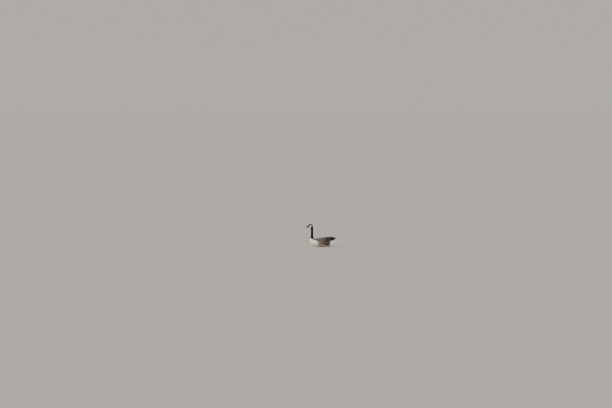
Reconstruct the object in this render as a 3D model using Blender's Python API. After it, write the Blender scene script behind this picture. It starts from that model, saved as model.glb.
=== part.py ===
"""A Canada goose at life size, at rest on its belly with its neck upright and its feet tucked under.

The goose faces -X, its left side is at -Y, +Z is up, and the floor is at z = 0. All sizes are in metres.
The body is one loft from the bill tip to the end of the undertail coverts, parted by thin cuts.
"""

import math
import random
from typing import NamedTuple

import bmesh
import bpy
import numpy as np
from mathutils import Matrix, Vector
from mathutils.bvhtree import BVHTree

# Driving sizes
BILL_TIP = (-0.338, 0.4185)
HEAD_PITCH = math.radians(15)
TAIL_TIP_X = 0.338
GAP = 0.0003
MOUTH_GAP = 0.00042
RING_POINTS = 28

# Eyes, lids and bill
EYE_ALONG = 0.0865
EYE_UP = 0.0155
EYE_RADIUS = 0.0075
EYE_DEPTH = 0.0046
LID_RADIUS = 0.0062
LID_THICKNESS = 0.0013
LID_STAND_OFF = 0.00447
MOUTH_UP_AT_TIP = -0.0012
MOUTH_UP_AT_BASE = -0.0045
LOWER_BILL_WIDTH = 0.88
BILL_DEPTH_MOST = 0.03
NOSTRIL_ALONG = 0.033
NOSTRIL_UP = 0.0082
NOSTRIL_SIZE = (0.0058, 0.0026, 0.0019)
NOSTRIL_PITCH = math.radians(11.5)
NAIL_ALONG = 0.0055
NAIL_UP = 0.0035
NAIL_SIZE = (0.0062, 0.0058, 0.0045)

# Folded wing
WING_CORE_END_LOW = 0.60
WING_CORE_END_HIGH = 0.74
WING_CORE_DEPTH = 0.022
WING_CORE_END_DEPTH = 0.0055
WING_CORE_SET_BACK = 0.0015
WING_CORE_THINS_FROM = 0.6
WING_CORE_MARGIN = 0.03
WING_CORE_ROWS = 10
WING_CORE_COLUMNS = 7
VANE_THICKNESS = 0.0008
VANE_TIP_THICKNESS = 0.0005
TIP_SCATTER = 0.006

# Tail
TAIL_ROOT = (0.226, 0.0, 0.1595)
TAIL_SLOPE = math.radians(13.5)
TAIL_FAN = math.radians(17)
TAIL_VANES = 16
TAIL_VANE_WIDTH = 0.025
TAIL_VANE_DROP = 0.00105
TAIL_ROOT_SPACING = 0.0016
TAIL_OUTER_SHORTER = 0.012

# Legs and feet
ANKLE = (0.110, 0.066, 0.0112)
TOE_JOINT = (0.034, 0.076, 0.0065)
LEG_PART_X = 0.042
WEB_THICKNESS = 0.0024
SOLE_SINK = 0.002
SEED = 7


class Ring(NamedTuple):
    """A section of the body: its under and upper points (x, z) in the middle plane, and its half width."""

    under: tuple
    upper: tuple
    half_width: float


# Bill and head, as (along, up) from the bill tip, before the head is pitched
HEAD_RINGS = [
    Ring((0.0016, -0.0036), (0.0000, 0.0030), 0.0048),
    Ring((0.0062, -0.0058), (0.0045, 0.0068), 0.0086),
    Ring((0.0170, -0.0072), (0.0150, 0.0098), 0.0106),
    Ring((0.0320, -0.0090), (0.0310, 0.0142), 0.0113),
    Ring((0.0500, -0.0112), (0.0520, 0.0205), 0.0124),
    Ring((0.0660, -0.0150), (0.0685, 0.0292), 0.0166),
    Ring((0.0830, -0.0188), (0.0860, 0.0402), 0.0208),
    Ring((0.0930, -0.0228), (0.1050, 0.0465), 0.0236),
    Ring((0.1005, -0.0290), (0.1255, 0.0440), 0.0245),
    Ring((0.1055, -0.0400), (0.1435, 0.0310), 0.0240),
]

# Neck, in the goose's own x and z
NECK_RINGS = [
    Ring((-0.2238, 0.3860), (-0.1840, 0.4560), 0.0230),
    Ring((-0.2225, 0.3560), (-0.1750, 0.4080), 0.0220),
    Ring((-0.2215, 0.3180), (-0.1725, 0.3400), 0.0216),
    Ring((-0.2225, 0.2800), (-0.1715, 0.2850), 0.0222),
    Ring((-0.2255, 0.2460), (-0.1700, 0.2450), 0.0250),
    Ring((-0.2310, 0.2160), (-0.1660, 0.2150), 0.0325),
]

# Breast, belly, back and rump
TORSO_RINGS = [
    Ring((-0.2395, 0.1840), (-0.1580, 0.1930), 0.0480),
    Ring((-0.2445, 0.1450), (-0.1430, 0.1790), 0.0720),
    Ring((-0.2390, 0.0970), (-0.1230, 0.1720), 0.0920),
    Ring((-0.2140, 0.0500), (-0.1000, 0.1710), 0.1040),
    Ring((-0.1650, 0.0150), (-0.0710, 0.1750), 0.1125),
    Ring((-0.1000, -0.0030), (-0.0370, 0.1820), 0.1175),
    Ring((-0.0300, -0.0042), (0.0060, 0.1890), 0.1195),
    Ring((0.0400, -0.0042), (0.0550, 0.1945), 0.1175),
    Ring((0.1020, -0.0025), (0.1090, 0.1965), 0.1085),
    Ring((0.1620, 0.0110), (0.1600, 0.1930), 0.0905),
]

# Vent, undertail coverts and tail base
STERN_RINGS = [
    Ring((0.2130, 0.0330), (0.2060, 0.1830), 0.0710),
    Ring((0.2520, 0.0620), (0.2430, 0.1730), 0.0550),
    Ring((0.2790, 0.0930), (0.2710, 0.1680), 0.0420),
    Ring((0.2960, 0.1210), (0.2930, 0.1640), 0.0300),
    Ring((0.3060, 0.1420), (0.3050, 0.1605), 0.0150),
]

# The cuts that part the body lie at these places along the loft, counted in rings
BILL_CUT = 4.0
NECK_TOP_CUT = 9.5
NECK_MIDDLE_CUT = 12.5
NECK_BASE_CUT = 15.6
TAIL_CUT = 26.3


class WingStation(NamedTuple):
    """A line across the folded wing: its lower and upper ends (x, y, z), and how far it bulges."""

    lower: tuple
    upper: tuple
    bulge: float


WING_STATIONS = [
    WingStation((-0.150, 0.0960, 0.1120), (-0.142, 0.0830, 0.1400), 0.004),
    WingStation((-0.100, 0.1150, 0.0980), (-0.100, 0.0680, 0.1640), 0.013),
    WingStation((-0.050, 0.1225, 0.0950), (-0.050, 0.0480, 0.1840), 0.019),
    WingStation((0.000, 0.1255, 0.0980), (0.000, 0.0240, 0.2000), 0.025),
    WingStation((0.050, 0.1235, 0.1060), (0.050, 0.0080, 0.2080), 0.028),
    WingStation((0.100, 0.1145, 0.1170), (0.100, 0.0045, 0.2135), 0.028),
    WingStation((0.150, 0.0960, 0.1310), (0.150, 0.0040, 0.2180), 0.023),
    WingStation((0.215, 0.0600, 0.1530), (0.215, 0.0040, 0.2195), 0.013),
    WingStation((0.275, 0.0370, 0.1760), (0.275, 0.0045, 0.2125), 0.006),
    WingStation((0.325, 0.0180, 0.1950), (0.325, 0.0080, 0.2045), 0.001),
]


class Tier(NamedTuple):
    """A row of like feathers: roots and tips run from the first place (a, b) on the wing to the last."""

    name: str
    count: int
    first_root: tuple
    last_root: tuple
    first_tip: tuple
    last_tip: tuple
    width: float
    root_lift: float
    tip_lift: float


WING_TIERS = [
    Tier("primary", 6, (0.62, 0.30), (0.62, 0.76), (0.90, 0.20), (1.00, 0.62), 0.015, -0.0042, -0.0004),
    Tier("secondary", 7, (0.46, 0.09), (0.58, 0.66), (0.66, 0.07), (0.81, 0.58), 0.0275, -0.0042, 0.0006),
    Tier("tertial", 4, (0.52, 0.72), (0.48, 0.92), (0.80, 0.64), (0.86, 0.90), 0.026, -0.0040, 0.0030),
    Tier("greater_covert", 7, (0.29, 0.08), (0.36, 0.91), (0.46, 0.07), (0.57, 0.91), 0.031, -0.004, 0.0034),
    Tier("median_covert", 7, (0.12, 0.12), (0.19, 0.88), (0.28, 0.10), (0.37, 0.89), 0.027, -0.0038, 0.004),
]

# Shares of a vane's full width from its root to its tip, and how far along each lies
VANE_STEPS = (0.0, 0.40, 0.76, 0.94, 1.0)
VANE_WIDTHS = (0.40, 0.92, 1.0, 0.70, 0.24)
VANE_TWIST = 0.0014

# Places (x, y, z) and radii along each toe and along the leg
MIDDLE_TOE = [(TOE_JOINT, 0.0056), ((0.006, 0.081, 0.0050), 0.0046), ((-0.024, 0.086, 0.0042), 0.0040),
              ((-0.048, 0.090, 0.0030), 0.0026)]
INNER_TOE = [(TOE_JOINT, 0.0054), ((0.012, 0.069, 0.0048), 0.0042), ((-0.010, 0.063, 0.0038), 0.0036),
             ((-0.026, 0.059, 0.0026), 0.0023)]
OUTER_TOE = [(TOE_JOINT, 0.0054), ((0.010, 0.088, 0.0048), 0.0044), ((-0.014, 0.100, 0.0040), 0.0038),
             ((-0.034, 0.109, 0.0028), 0.0024)]
HIND_TOE = [((0.050, 0.070, 0.0060), 0.0036), ((0.054, 0.060, 0.0045), 0.0030),
            ((0.058, 0.053, 0.0032), 0.0018)]
SHANK = [((0.121, 0.065, 0.0130), 0.0050), ((0.116, 0.0655, 0.0125), 0.0092), (ANKLE, 0.0100),
         ((0.098, 0.068, 0.0085), 0.0072), ((0.062, 0.073, 0.0070), 0.0058), (TOE_JOINT, 0.0064)]
TOE_SIDES = 8


def clear_scene():
    """Remove every object that is in the scene."""
    for obj in list(bpy.data.objects):
        bpy.data.objects.remove(obj, do_unlink=True)


def new_collection(name):
    collection = bpy.data.collections.new(name)
    bpy.context.scene.collection.children.link(collection)
    return collection


def principled(name, colour, roughness, specular=0.5):
    """A plain finish for one sub-part."""
    material = bpy.data.materials.new(name)
    material.use_nodes = True
    shader = material.node_tree.nodes["Principled BSDF"]
    shader.inputs["Base Color"].default_value = (*colour, 1.0)
    shader.inputs["Roughness"].default_value = roughness
    shader.inputs["Specular IOR Level"].default_value = specular
    shader.inputs["Metallic"].default_value = 0.0
    return material


def object_from_bmesh(name, bm, collection):
    """Turn a bmesh into an object with its faces pointing out."""
    bmesh.ops.recalc_face_normals(bm, faces=bm.faces)
    mesh = bpy.data.meshes.new(name)
    bm.to_mesh(mesh)
    bm.free()
    obj = bpy.data.objects.new(name, mesh)
    collection.objects.link(obj)
    return obj


def replace_mesh(obj, bm):
    """Give an object the mesh that a bmesh holds."""
    bm.to_mesh(obj.data)
    bm.free()
    obj.data.update()


def move_to(obj, collection):
    """Take an object out of the collections it is in, and put it in this one."""
    for other in list(obj.users_collection):
        other.objects.unlink(obj)
    collection.objects.link(obj)


def remove_objects(objects):
    for obj in list(objects):
        bpy.data.objects.remove(obj, do_unlink=True)


def apply_modifiers(obj):
    """Make the evaluated mesh the object's own."""
    graph = bpy.context.evaluated_depsgraph_get()
    mesh = bpy.data.meshes.new_from_object(obj.evaluated_get(graph))
    obj.modifiers.clear()
    obj.data = mesh


def boolean(obj, operation, solver, other=None, collection=None):
    """Join or cut an object with another object or with a whole collection, and apply it."""
    modifier = obj.modifiers.new(operation.title(), "BOOLEAN")
    modifier.operation = operation
    modifier.solver = solver
    if collection:
        modifier.operand_type = "COLLECTION"
        modifier.collection = collection
    else:
        modifier.object = other
    bpy.context.view_layer.update()
    apply_modifiers(obj)


def keep_largest_surface(obj):
    """Drop loose scraps and sealed hollows, so that one closed surface is left."""
    bm = bmesh.new()
    bm.from_mesh(obj.data)
    bmesh.ops.remove_doubles(bm, verts=bm.verts, dist=1e-6)
    unseen = set(bm.verts)
    shells = []
    while unseen:
        stack = [unseen.pop()]
        shell = set(stack)
        while stack:
            for edge in stack.pop().link_edges:
                for vert in edge.verts:
                    if vert in unseen:
                        unseen.discard(vert)
                        shell.add(vert)
                        stack.append(vert)
        shells.append(shell)
    largest = max(shells, key=lambda shell: surface_area(shell))
    loose = [vert for shell in shells if shell is not largest for vert in shell]
    bmesh.ops.delete(bm, geom=loose, context="VERTS")
    replace_mesh(obj, bm)


def surface_area(verts):
    """The area of all faces that meet these vertices."""
    faces = {face for vert in verts for face in vert.link_faces}
    return sum(face.calc_area() for face in faces)


def keep_side(obj, point, normal):
    """Cut an object with a plane, close it, and keep the side that the normal points to."""
    bm = bmesh.new()
    bm.from_mesh(obj.data)
    everything = bm.verts[:] + bm.edges[:] + bm.faces[:]
    cut = bmesh.ops.bisect_plane(bm, geom=everything, dist=1e-7, plane_co=point, plane_no=normal,
                                 clear_inner=True)
    edges = [item for item in cut["geom_cut"] if isinstance(item, bmesh.types.BMEdge)]
    bmesh.ops.triangle_fill(bm, edges=edges, use_beauty=True)
    bmesh.ops.recalc_face_normals(bm, faces=bm.faces)
    replace_mesh(obj, bm)


def copy_of(obj, name, collection):
    copy = bpy.data.objects.new(name, obj.data.copy())
    collection.objects.link(copy)
    return copy


def mirrored(obj, name, collection):
    """The same piece on the other side of the middle plane."""
    bm = bmesh.new()
    bm.from_mesh(obj.data)
    bmesh.ops.transform(bm, matrix=Matrix.Scale(-1, 4, (0, 1, 0)), verts=bm.verts)
    bmesh.ops.reverse_faces(bm, faces=bm.faces)
    return object_from_bmesh(name, bm, collection)


def inflated(obj, distance, name, collection):
    """A copy that stands out from the original by the distance all over."""
    bm = bmesh.new()
    bm.from_mesh(obj.data)
    bm.normal_update()
    for vert in bm.verts:
        vert.co += vert.normal * distance * vert.calc_shell_factor()
    return object_from_bmesh(name, bm, collection)


def catmull_rom(values, place):
    """The smooth curve through rows of numbers, read at a place counted in rows."""
    values = np.asarray(values, float)
    last = len(values) - 1
    i = min(max(int(place), 0), last - 1)
    t = place - i
    p0 = values[i - 1] if i > 0 else 2 * values[0] - values[1]
    p1 = values[i]
    p2 = values[i + 1]
    p3 = values[i + 2] if i + 2 <= last else 2 * values[last] - values[last - 1]
    square = 2 * p0 - 5 * p1 + 4 * p2 - p3
    cube = 3 * p1 - p0 - 3 * p2 + p3
    return 0.5 * (2 * p1 + (p2 - p0) * t + square * t**2 + cube * t**3)


def pitched(place):
    """A place (along, up) on the head, in the goose's own x and z."""
    along, up = place
    x = BILL_TIP[0] + along * math.cos(HEAD_PITCH) - up * math.sin(HEAD_PITCH)
    z = BILL_TIP[1] + along * math.sin(HEAD_PITCH) + up * math.cos(HEAD_PITCH)
    return x, z


def body_rows():
    """Every ring of the body as numbers: under x and z, upper x and z, half width."""
    rings = [Ring(pitched(ring.under), pitched(ring.upper), ring.half_width) for ring in HEAD_RINGS]
    rings += NECK_RINGS + TORSO_RINGS + STERN_RINGS
    return [(*ring.under, *ring.upper, ring.half_width) for ring in rings]


def ring_outline(row):
    """The points of one section, flattened where it meets the floor."""
    under_x, under_z, upper_x, upper_z, half_width = row
    points = []
    for k in range(RING_POINTS):
        turn = 2 * math.pi * k / RING_POINTS
        share = (1 - math.cos(turn)) / 2
        x = under_x + (upper_x - under_x) * share
        z = under_z + (upper_z - under_z) * share
        points.append((x, half_width * math.sin(turn), max(z, 0.0)))
    return points


def loft(sections, name, collection):
    """Skin a run of sections that have the same number of points, and close both ends."""
    bm = bmesh.new()
    loops = [[bm.verts.new(point) for point in section] for section in sections]
    count = len(loops[0])
    for near, far in zip(loops, loops[1:]):
        for k in range(count):
            m = (k + 1) % count
            bm.faces.new((near[k], near[m], far[m], far[k]))
    for loop in (loops[0], loops[-1]):
        bmesh.ops.contextual_create(bm, geom=loop)
    bmesh.ops.triangulate(bm, faces=bm.faces)
    return object_from_bmesh(name, bm, collection)


def body_places():
    """Where the loft has sections: at every ring and halfway between them."""
    last = len(HEAD_RINGS) + len(NECK_RINGS) + len(TORSO_RINGS) + len(STERN_RINGS) - 1
    return [k / 2 for k in range(2 * last + 1)]


def make_body_form(collection):
    """The whole body from the bill tip to the undertail coverts, as one closed form."""
    rows = body_rows()
    sections = [ring_outline(catmull_rom(rows, place)) for place in body_places()]
    return loft(sections, "body_form", collection)


def cut_plane(place):
    """The plane of the section at a place along the body: a point, and the way towards the tail."""
    rows = body_rows()
    under_x, under_z, upper_x, upper_z, _ = catmull_rom(rows, place)
    point = Vector(((under_x + upper_x) / 2, 0.0, (under_z + upper_z) / 2))
    across = Vector((upper_x - under_x, 0.0, upper_z - under_z)).normalized()
    return point, Vector((across.z, 0.0, -across.x))


def body_length(form, name, start, end, collection):
    """The length of the body between two cuts, each short of its plane by half the gap."""
    piece = copy_of(form, name, collection)
    if start is not None:
        point, normal = cut_plane(start)
        keep_side(piece, point + normal * GAP / 2, normal)
    if end is not None:
        point, normal = cut_plane(end)
        keep_side(piece, point - normal * GAP / 2, -normal)
    return piece


def ellipsoid(name, centre, size, pitch, collection, segments=10, rings=6):
    """A ball with three radii, pitched about Y."""
    bm = bmesh.new()
    bmesh.ops.create_uvsphere(bm, u_segments=segments, v_segments=rings, radius=1.0)
    place = Matrix.Translation(centre) @ Matrix.Rotation(-pitch, 4, "Y") @ Matrix.Diagonal((*size, 1.0))
    bmesh.ops.transform(bm, matrix=place, verts=bm.verts)
    return object_from_bmesh(name, bm, collection)


def surface_of(obj):
    bm = bmesh.new()
    bm.from_mesh(obj.data)
    tree = BVHTree.FromBMesh(bm)
    bm.free()
    return tree


def side_point(tree, place, side):
    """The point of the head's side over a place (along, up), and the way out of it."""
    x, z = pitched(place)
    point, normal, _, _ = tree.ray_cast(Vector((x, side * 0.1, z)), Vector((0, -side, 0)))
    return point, normal


def eye_centre(tree, side):
    point, normal = side_point(tree, (EYE_ALONG, EYE_UP), side)
    return point - normal * EYE_DEPTH, normal


def make_head(form, collection, cutters):
    """The head with its lids, and the two sockets that the eyes sit in."""
    head = body_length(form, "head", BILL_CUT, NECK_TOP_CUT, collection)
    tree = surface_of(head)
    pieces = new_collection("lids")
    for side in (-1, 1):
        centre, normal = eye_centre(tree, side)
        rim = centre + normal * LID_STAND_OFF
        facing = normal.to_track_quat("Z", "Y").to_euler()
        bpy.ops.mesh.primitive_torus_add(major_radius=LID_RADIUS, minor_radius=LID_THICKNESS,
                                         major_segments=16, minor_segments=6, location=rim, rotation=facing)
        move_to(bpy.context.object, pieces)
    boolean(head, "UNION", "EXACT", collection=pieces)
    remove_objects(pieces.objects)
    for side in (-1, 1):
        centre, _ = eye_centre(tree, side)
        socket = ellipsoid("socket", centre, (EYE_RADIUS + GAP,) * 3, 0.0, cutters, 16, 10)
        boolean(head, "DIFFERENCE", "EXACT", other=socket)
    keep_largest_surface(head)
    return head, tree


def make_eye(tree, side, name, collection):
    """An eyeball, set in the head so that only its front shows between the lids."""
    centre, _ = eye_centre(tree, side)
    bpy.ops.mesh.primitive_uv_sphere_add(segments=16, ring_count=10, radius=EYE_RADIUS, location=centre,
                                         rotation=(math.pi / 2, 0, 0))
    eye = bpy.context.object
    eye.name = name
    move_to(eye, collection)
    return eye


def make_bill(form, collection, cutters):
    """The upper bill with its nail and nostrils, and the lower bill tucked under it."""
    upper = body_length(form, "bill_upper", None, BILL_CUT, collection)
    keep_side(upper, Vector((0, 0, BILL_TIP[1] - BILL_DEPTH_MOST)), Vector((0, 0, 1)))
    lower = copy_of(upper, "bill_lower", collection)
    front_x, front_z = pitched((0.0, MOUTH_UP_AT_TIP))
    back_x, back_z = pitched((HEAD_RINGS[4].under[0], MOUTH_UP_AT_BASE))
    front = Vector((front_x, 0, front_z))
    along = Vector((back_x - front_x, 0, back_z - front_z)).normalized()
    upward = Vector((-along.z, 0, along.x))
    keep_side(upper, front + upward * MOUTH_GAP / 2, upward)
    keep_side(lower, front - upward * MOUTH_GAP / 2, -upward)
    nail_x, nail_z = pitched((NAIL_ALONG, NAIL_UP))
    nail = ellipsoid("nail", Vector((nail_x, 0, nail_z)), NAIL_SIZE, HEAD_PITCH, cutters)
    keep_side(nail, front + upward * MOUTH_GAP / 2, upward)
    boolean(upper, "UNION", "EXACT", other=nail)
    tree = surface_of(upper)
    for side in (-1, 1):
        point, _ = side_point(tree, (NOSTRIL_ALONG, NOSTRIL_UP), side)
        nostril = ellipsoid("nostril", point, NOSTRIL_SIZE, HEAD_PITCH + NOSTRIL_PITCH, cutters)
        boolean(upper, "DIFFERENCE", "EXACT", other=nostril)
    keep_largest_surface(upper)
    narrow_lower_bill(lower)
    return upper, lower


def narrow_lower_bill(lower):
    """Tuck the lower bill inside the edge of the upper one."""
    bm = bmesh.new()
    bm.from_mesh(lower.data)
    for vert in bm.verts:
        vert.co.y *= LOWER_BILL_WIDTH
    replace_mesh(lower, bm)
    keep_largest_surface(lower)


def wing_rows():
    return [(*station.lower, *station.upper, station.bulge) for station in WING_STATIONS]


def wing_surface(a, b):
    """A point of the folded wing: a runs from shoulder to tip, and b from its lower to its upper edge."""
    row = catmull_rom(wing_rows(), a * (len(WING_STATIONS) - 1))
    lower, upper, bulge = Vector(row[:3]), Vector(row[3:6]), row[6]
    out = Vector((1, 0, 0)).cross(upper - lower).normalized()
    if out.y < 0:
        out = -out
    return lower.lerp(upper, b) + out * bulge * 4 * b * (1 - b)


def wing_normal(a, b):
    step = 0.01
    along = wing_surface(a + step, b) - wing_surface(a - step, b)
    up = wing_surface(a, b + step) - wing_surface(a, b - step)
    normal = along.cross(up).normalized()
    return normal if normal.y > 0 else -normal


def lifted(a, b, lift):
    """A point that stands off the folded wing's surface."""
    return wing_surface(a, b) + wing_normal(a, b) * lift


def solid_grid(name, upper, lower, collection):
    """A closed sheet between two grids of points, split into triangles alike on both faces."""
    bm = bmesh.new()
    top = [[bm.verts.new(point) for point in row] for row in upper]
    under = [[bm.verts.new(point) for point in row] for row in lower]
    rows, columns = len(top), len(top[0])
    for i in range(rows - 1):
        for j in range(columns - 1):
            for grid in (top, under):
                bm.faces.new((grid[i][j], grid[i + 1][j], grid[i + 1][j + 1]))
                bm.faces.new((grid[i][j], grid[i + 1][j + 1], grid[i][j + 1]))
    rim = [(i, 0) for i in range(rows)] + [(rows - 1, j) for j in range(1, columns)]
    rim += [(i, columns - 1) for i in range(rows - 2, -1, -1)] + [(0, j) for j in range(columns - 2, 0, -1)]
    for (i, j), (m, n) in zip(rim, rim[1:] + rim[:1]):
        bm.faces.new((top[i][j], top[m][n], under[m][n]))
        bm.faces.new((top[i][j], under[m][n], under[i][j]))
    return object_from_bmesh(name, bm, collection)


def vane(name, middle, sideways, normals, width, twist, collection):
    """A feather's blade along a middle line, with a blunt tip, twisted so that its neighbours lap."""
    upper, lower = [], []
    for i, (share, wide) in enumerate(zip(VANE_STEPS, VANE_WIDTHS)):
        thick = VANE_THICKNESS + (VANE_TIP_THICKNESS - VANE_THICKNESS) * share
        row = []
        for j in (-1, 1):
            tilt = -j * twist * min(share * 2, 1)
            row.append(middle[i] + sideways[i] * j * wide * width / 2 + normals[i] * tilt)
        upper.append([point + normals[i] * thick / 2 for point in row])
        lower.append([point - normals[i] * thick / 2 for point in row])
    return solid_grid(name, upper, lower, collection)


def wing_vane(tier, k, draw, collection):
    """One feather of a tier, laid along the wing's own surface."""
    share = k / (tier.count - 1)
    root = np.array(tier.first_root) * (1 - share) + np.array(tier.last_root) * share
    tip = np.array(tier.first_tip) * (1 - share) + np.array(tier.last_tip) * share
    tip = tip + np.array((draw.uniform(-TIP_SCATTER, TIP_SCATTER), 0.0))
    middle, sideways, normals = [], [], []
    for step in VANE_STEPS:
        a, b = root * (1 - step) + tip * step
        lift = tier.root_lift + (tier.tip_lift - tier.root_lift) * step
        middle.append(lifted(a, b, lift))
        normals.append(wing_normal(a, b))
    for i in range(len(middle)):
        along = middle[min(i + 1, len(middle) - 1)] - middle[max(i - 1, 0)]
        sideways.append(normals[i].cross(along).normalized())
        if sideways[i].z < 0:
            sideways[i] = -sideways[i]
    return vane(f"{tier.name}_{k}", middle, sideways, normals, tier.width, VANE_TWIST, collection)


def wing_core(collection):
    """The closed wing under its feathers, sunk into the body that it lies on."""
    upper, lower = [], []
    for share in np.linspace(0.0, 1.0, WING_CORE_ROWS):
        thinning = max(0.0, (share - WING_CORE_THINS_FROM) / (1 - WING_CORE_THINS_FROM))
        depth = WING_CORE_DEPTH + (WING_CORE_END_DEPTH - WING_CORE_DEPTH) * thinning
        bs = np.linspace(WING_CORE_MARGIN, 1 - WING_CORE_MARGIN, WING_CORE_COLUMNS)
        ends = [WING_CORE_END_LOW + (WING_CORE_END_HIGH - WING_CORE_END_LOW) * min(1.0, 1.6 * b) for b in bs]
        upper.append([lifted(end * share, b, -WING_CORE_SET_BACK) for end, b in zip(ends, bs)])
        lower.append([lifted(end * share, b, -depth) for end, b in zip(ends, bs)])
    return solid_grid("wing_core", upper, lower, collection)


def make_wing(form_cutter, collection):
    """The right wing, its feathers fused to the core and its inner side cut clear of the body."""
    wing = wing_core(collection)
    wing.name = "wing_right"
    feathers = new_collection("wing_feathers")
    draw = random.Random(SEED)
    for tier in WING_TIERS:
        for k in range(tier.count):
            wing_vane(tier, k, draw, feathers)
    boolean(wing, "UNION", "MANIFOLD", collection=feathers)
    remove_objects(feathers.objects)
    boolean(wing, "DIFFERENCE", "MANIFOLD", other=form_cutter)
    keep_largest_surface(wing)
    return wing


def tail_vane(k, collection):
    """One of the tail feathers: the middle pair lies on top, and each next one lies a little lower."""
    place = k - (TAIL_VANES - 1) / 2
    turn = TAIL_FAN * place / (TAIL_VANES / 2)
    outward = abs(place) / (TAIL_VANES / 2)
    length = (TAIL_TIP_X - TAIL_ROOT[0]) / math.cos(turn) - TAIL_OUTER_SHORTER * outward**2
    heading = Vector((math.cos(turn), math.sin(turn), math.tan(TAIL_SLOPE)))
    normal = Vector((-math.sin(TAIL_SLOPE), 0, math.cos(TAIL_SLOPE)))
    across = Vector((-math.sin(turn), math.cos(turn), 0))
    root = Vector(TAIL_ROOT) + Vector((0, place * TAIL_ROOT_SPACING, -abs(place) * TAIL_VANE_DROP))
    middle = [root + heading * (length * step) for step in VANE_STEPS]
    sideways = [across] * len(middle)
    normals = [normal] * len(middle)
    return vane(f"tail_feather_{k}", middle, sideways, normals, TAIL_VANE_WIDTH, 0.0, collection)


def make_tail(form, collection):
    """The stern with its coverts, and the fan of tail feathers rooted in it."""
    tail = body_length(form, "tail", TAIL_CUT, None, collection)
    feathers = new_collection("tail_feathers")
    for k in range(TAIL_VANES):
        tail_vane(k, feathers)
    boolean(tail, "UNION", "MANIFOLD", collection=feathers)
    remove_objects(feathers.objects)
    keep_largest_surface(tail)
    return tail


def tapered_tube(name, places, collection):
    """A round, tapered length through places that each have a radius."""
    centres = [Vector(place) for place, _ in places]
    sections = []
    for i, (_, radius) in enumerate(places):
        along = (centres[min(i + 1, len(places) - 1)] - centres[max(i - 1, 0)]).normalized()
        level = along.cross(Vector((0, 0, 1))).normalized()
        raised = level.cross(along)
        turns = [2 * math.pi * k / TOE_SIDES for k in range(TOE_SIDES)]
        sections.append([centres[i] + (level * math.cos(t) + raised * math.sin(t)) * radius for t in turns])
    return loft(sections, name, collection)


def web_outline():
    """The edge of the web, drawn in between the tips of the three front toes."""
    tips = [Vector(toe[-1][0]) for toe in (INNER_TOE, MIDDLE_TOE, OUTER_TOE)]
    heel = Vector(TOE_JOINT)
    outline = [heel + Vector((0.004, -0.004, 0))]
    for near, far in zip(tips, tips[1:]):
        inset = (heel - (near + far) / 2) * 0.22
        for share in (0.04, 0.28, 0.5, 0.72):
            outline.append(near.lerp(far, share) + inset * 4 * share * (1 - share))
    outline.append(tips[-1])
    outline.append(heel + Vector((0.004, 0.004, 0)))
    return outline


def make_web(collection):
    """The web of the foot, a little below the floor until the sole is cut flat."""
    bm = bmesh.new()
    under = [bm.verts.new((point.x, point.y, -SOLE_SINK)) for point in web_outline()]
    upper = [bm.verts.new((point.x, point.y, WEB_THICKNESS)) for point in web_outline()]
    bm.faces.new(under)
    bm.faces.new(upper)
    for k in range(len(under)):
        m = (k + 1) % len(under)
        bm.faces.new((under[k], under[m], upper[m], upper[k]))
    bmesh.ops.triangulate(bm, faces=bm.faces)
    return object_from_bmesh("web", bm, collection)


def make_leg_and_foot(form_cutter, collection):
    """The right leg and foot, tucked under the belly, with a flat sole at the floor."""
    limb = tapered_tube("limb", SHANK, collection)
    pieces = new_collection("toes")
    toes = {"middle_toe": MIDDLE_TOE, "inner_toe": INNER_TOE, "outer_toe": OUTER_TOE, "hind_toe": HIND_TOE}
    for name, places in toes.items():
        tapered_tube(name, places, pieces)
    make_web(pieces)
    boolean(limb, "UNION", "MANIFOLD", collection=pieces)
    remove_objects(pieces.objects)
    boolean(limb, "DIFFERENCE", "MANIFOLD", other=form_cutter)
    keep_side(limb, Vector((0, 0, 0)), Vector((0, 0, 1)))
    keep_largest_surface(limb)
    leg = copy_of(limb, "leg_right", collection)
    foot = copy_of(limb, "foot_right", collection)
    remove_objects([limb])
    keep_side(leg, Vector((LEG_PART_X + GAP / 2, 0, 0)), Vector((1, 0, 0)))
    keep_side(foot, Vector((LEG_PART_X - GAP / 2, 0, 0)), Vector((-1, 0, 0)))
    for piece in (leg, foot):
        keep_largest_surface(piece)
    return leg, foot


def finish(obj, material, parent, smooth_angle=40):
    """Dress a sub-part, shade it smooth and hang it on the goose's own empty."""
    obj.data.materials.clear()
    obj.data.materials.append(material)
    obj.data.shade_smooth()
    obj.data.set_sharp_from_angle(angle=math.radians(smooth_angle))
    obj.parent = parent


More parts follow.
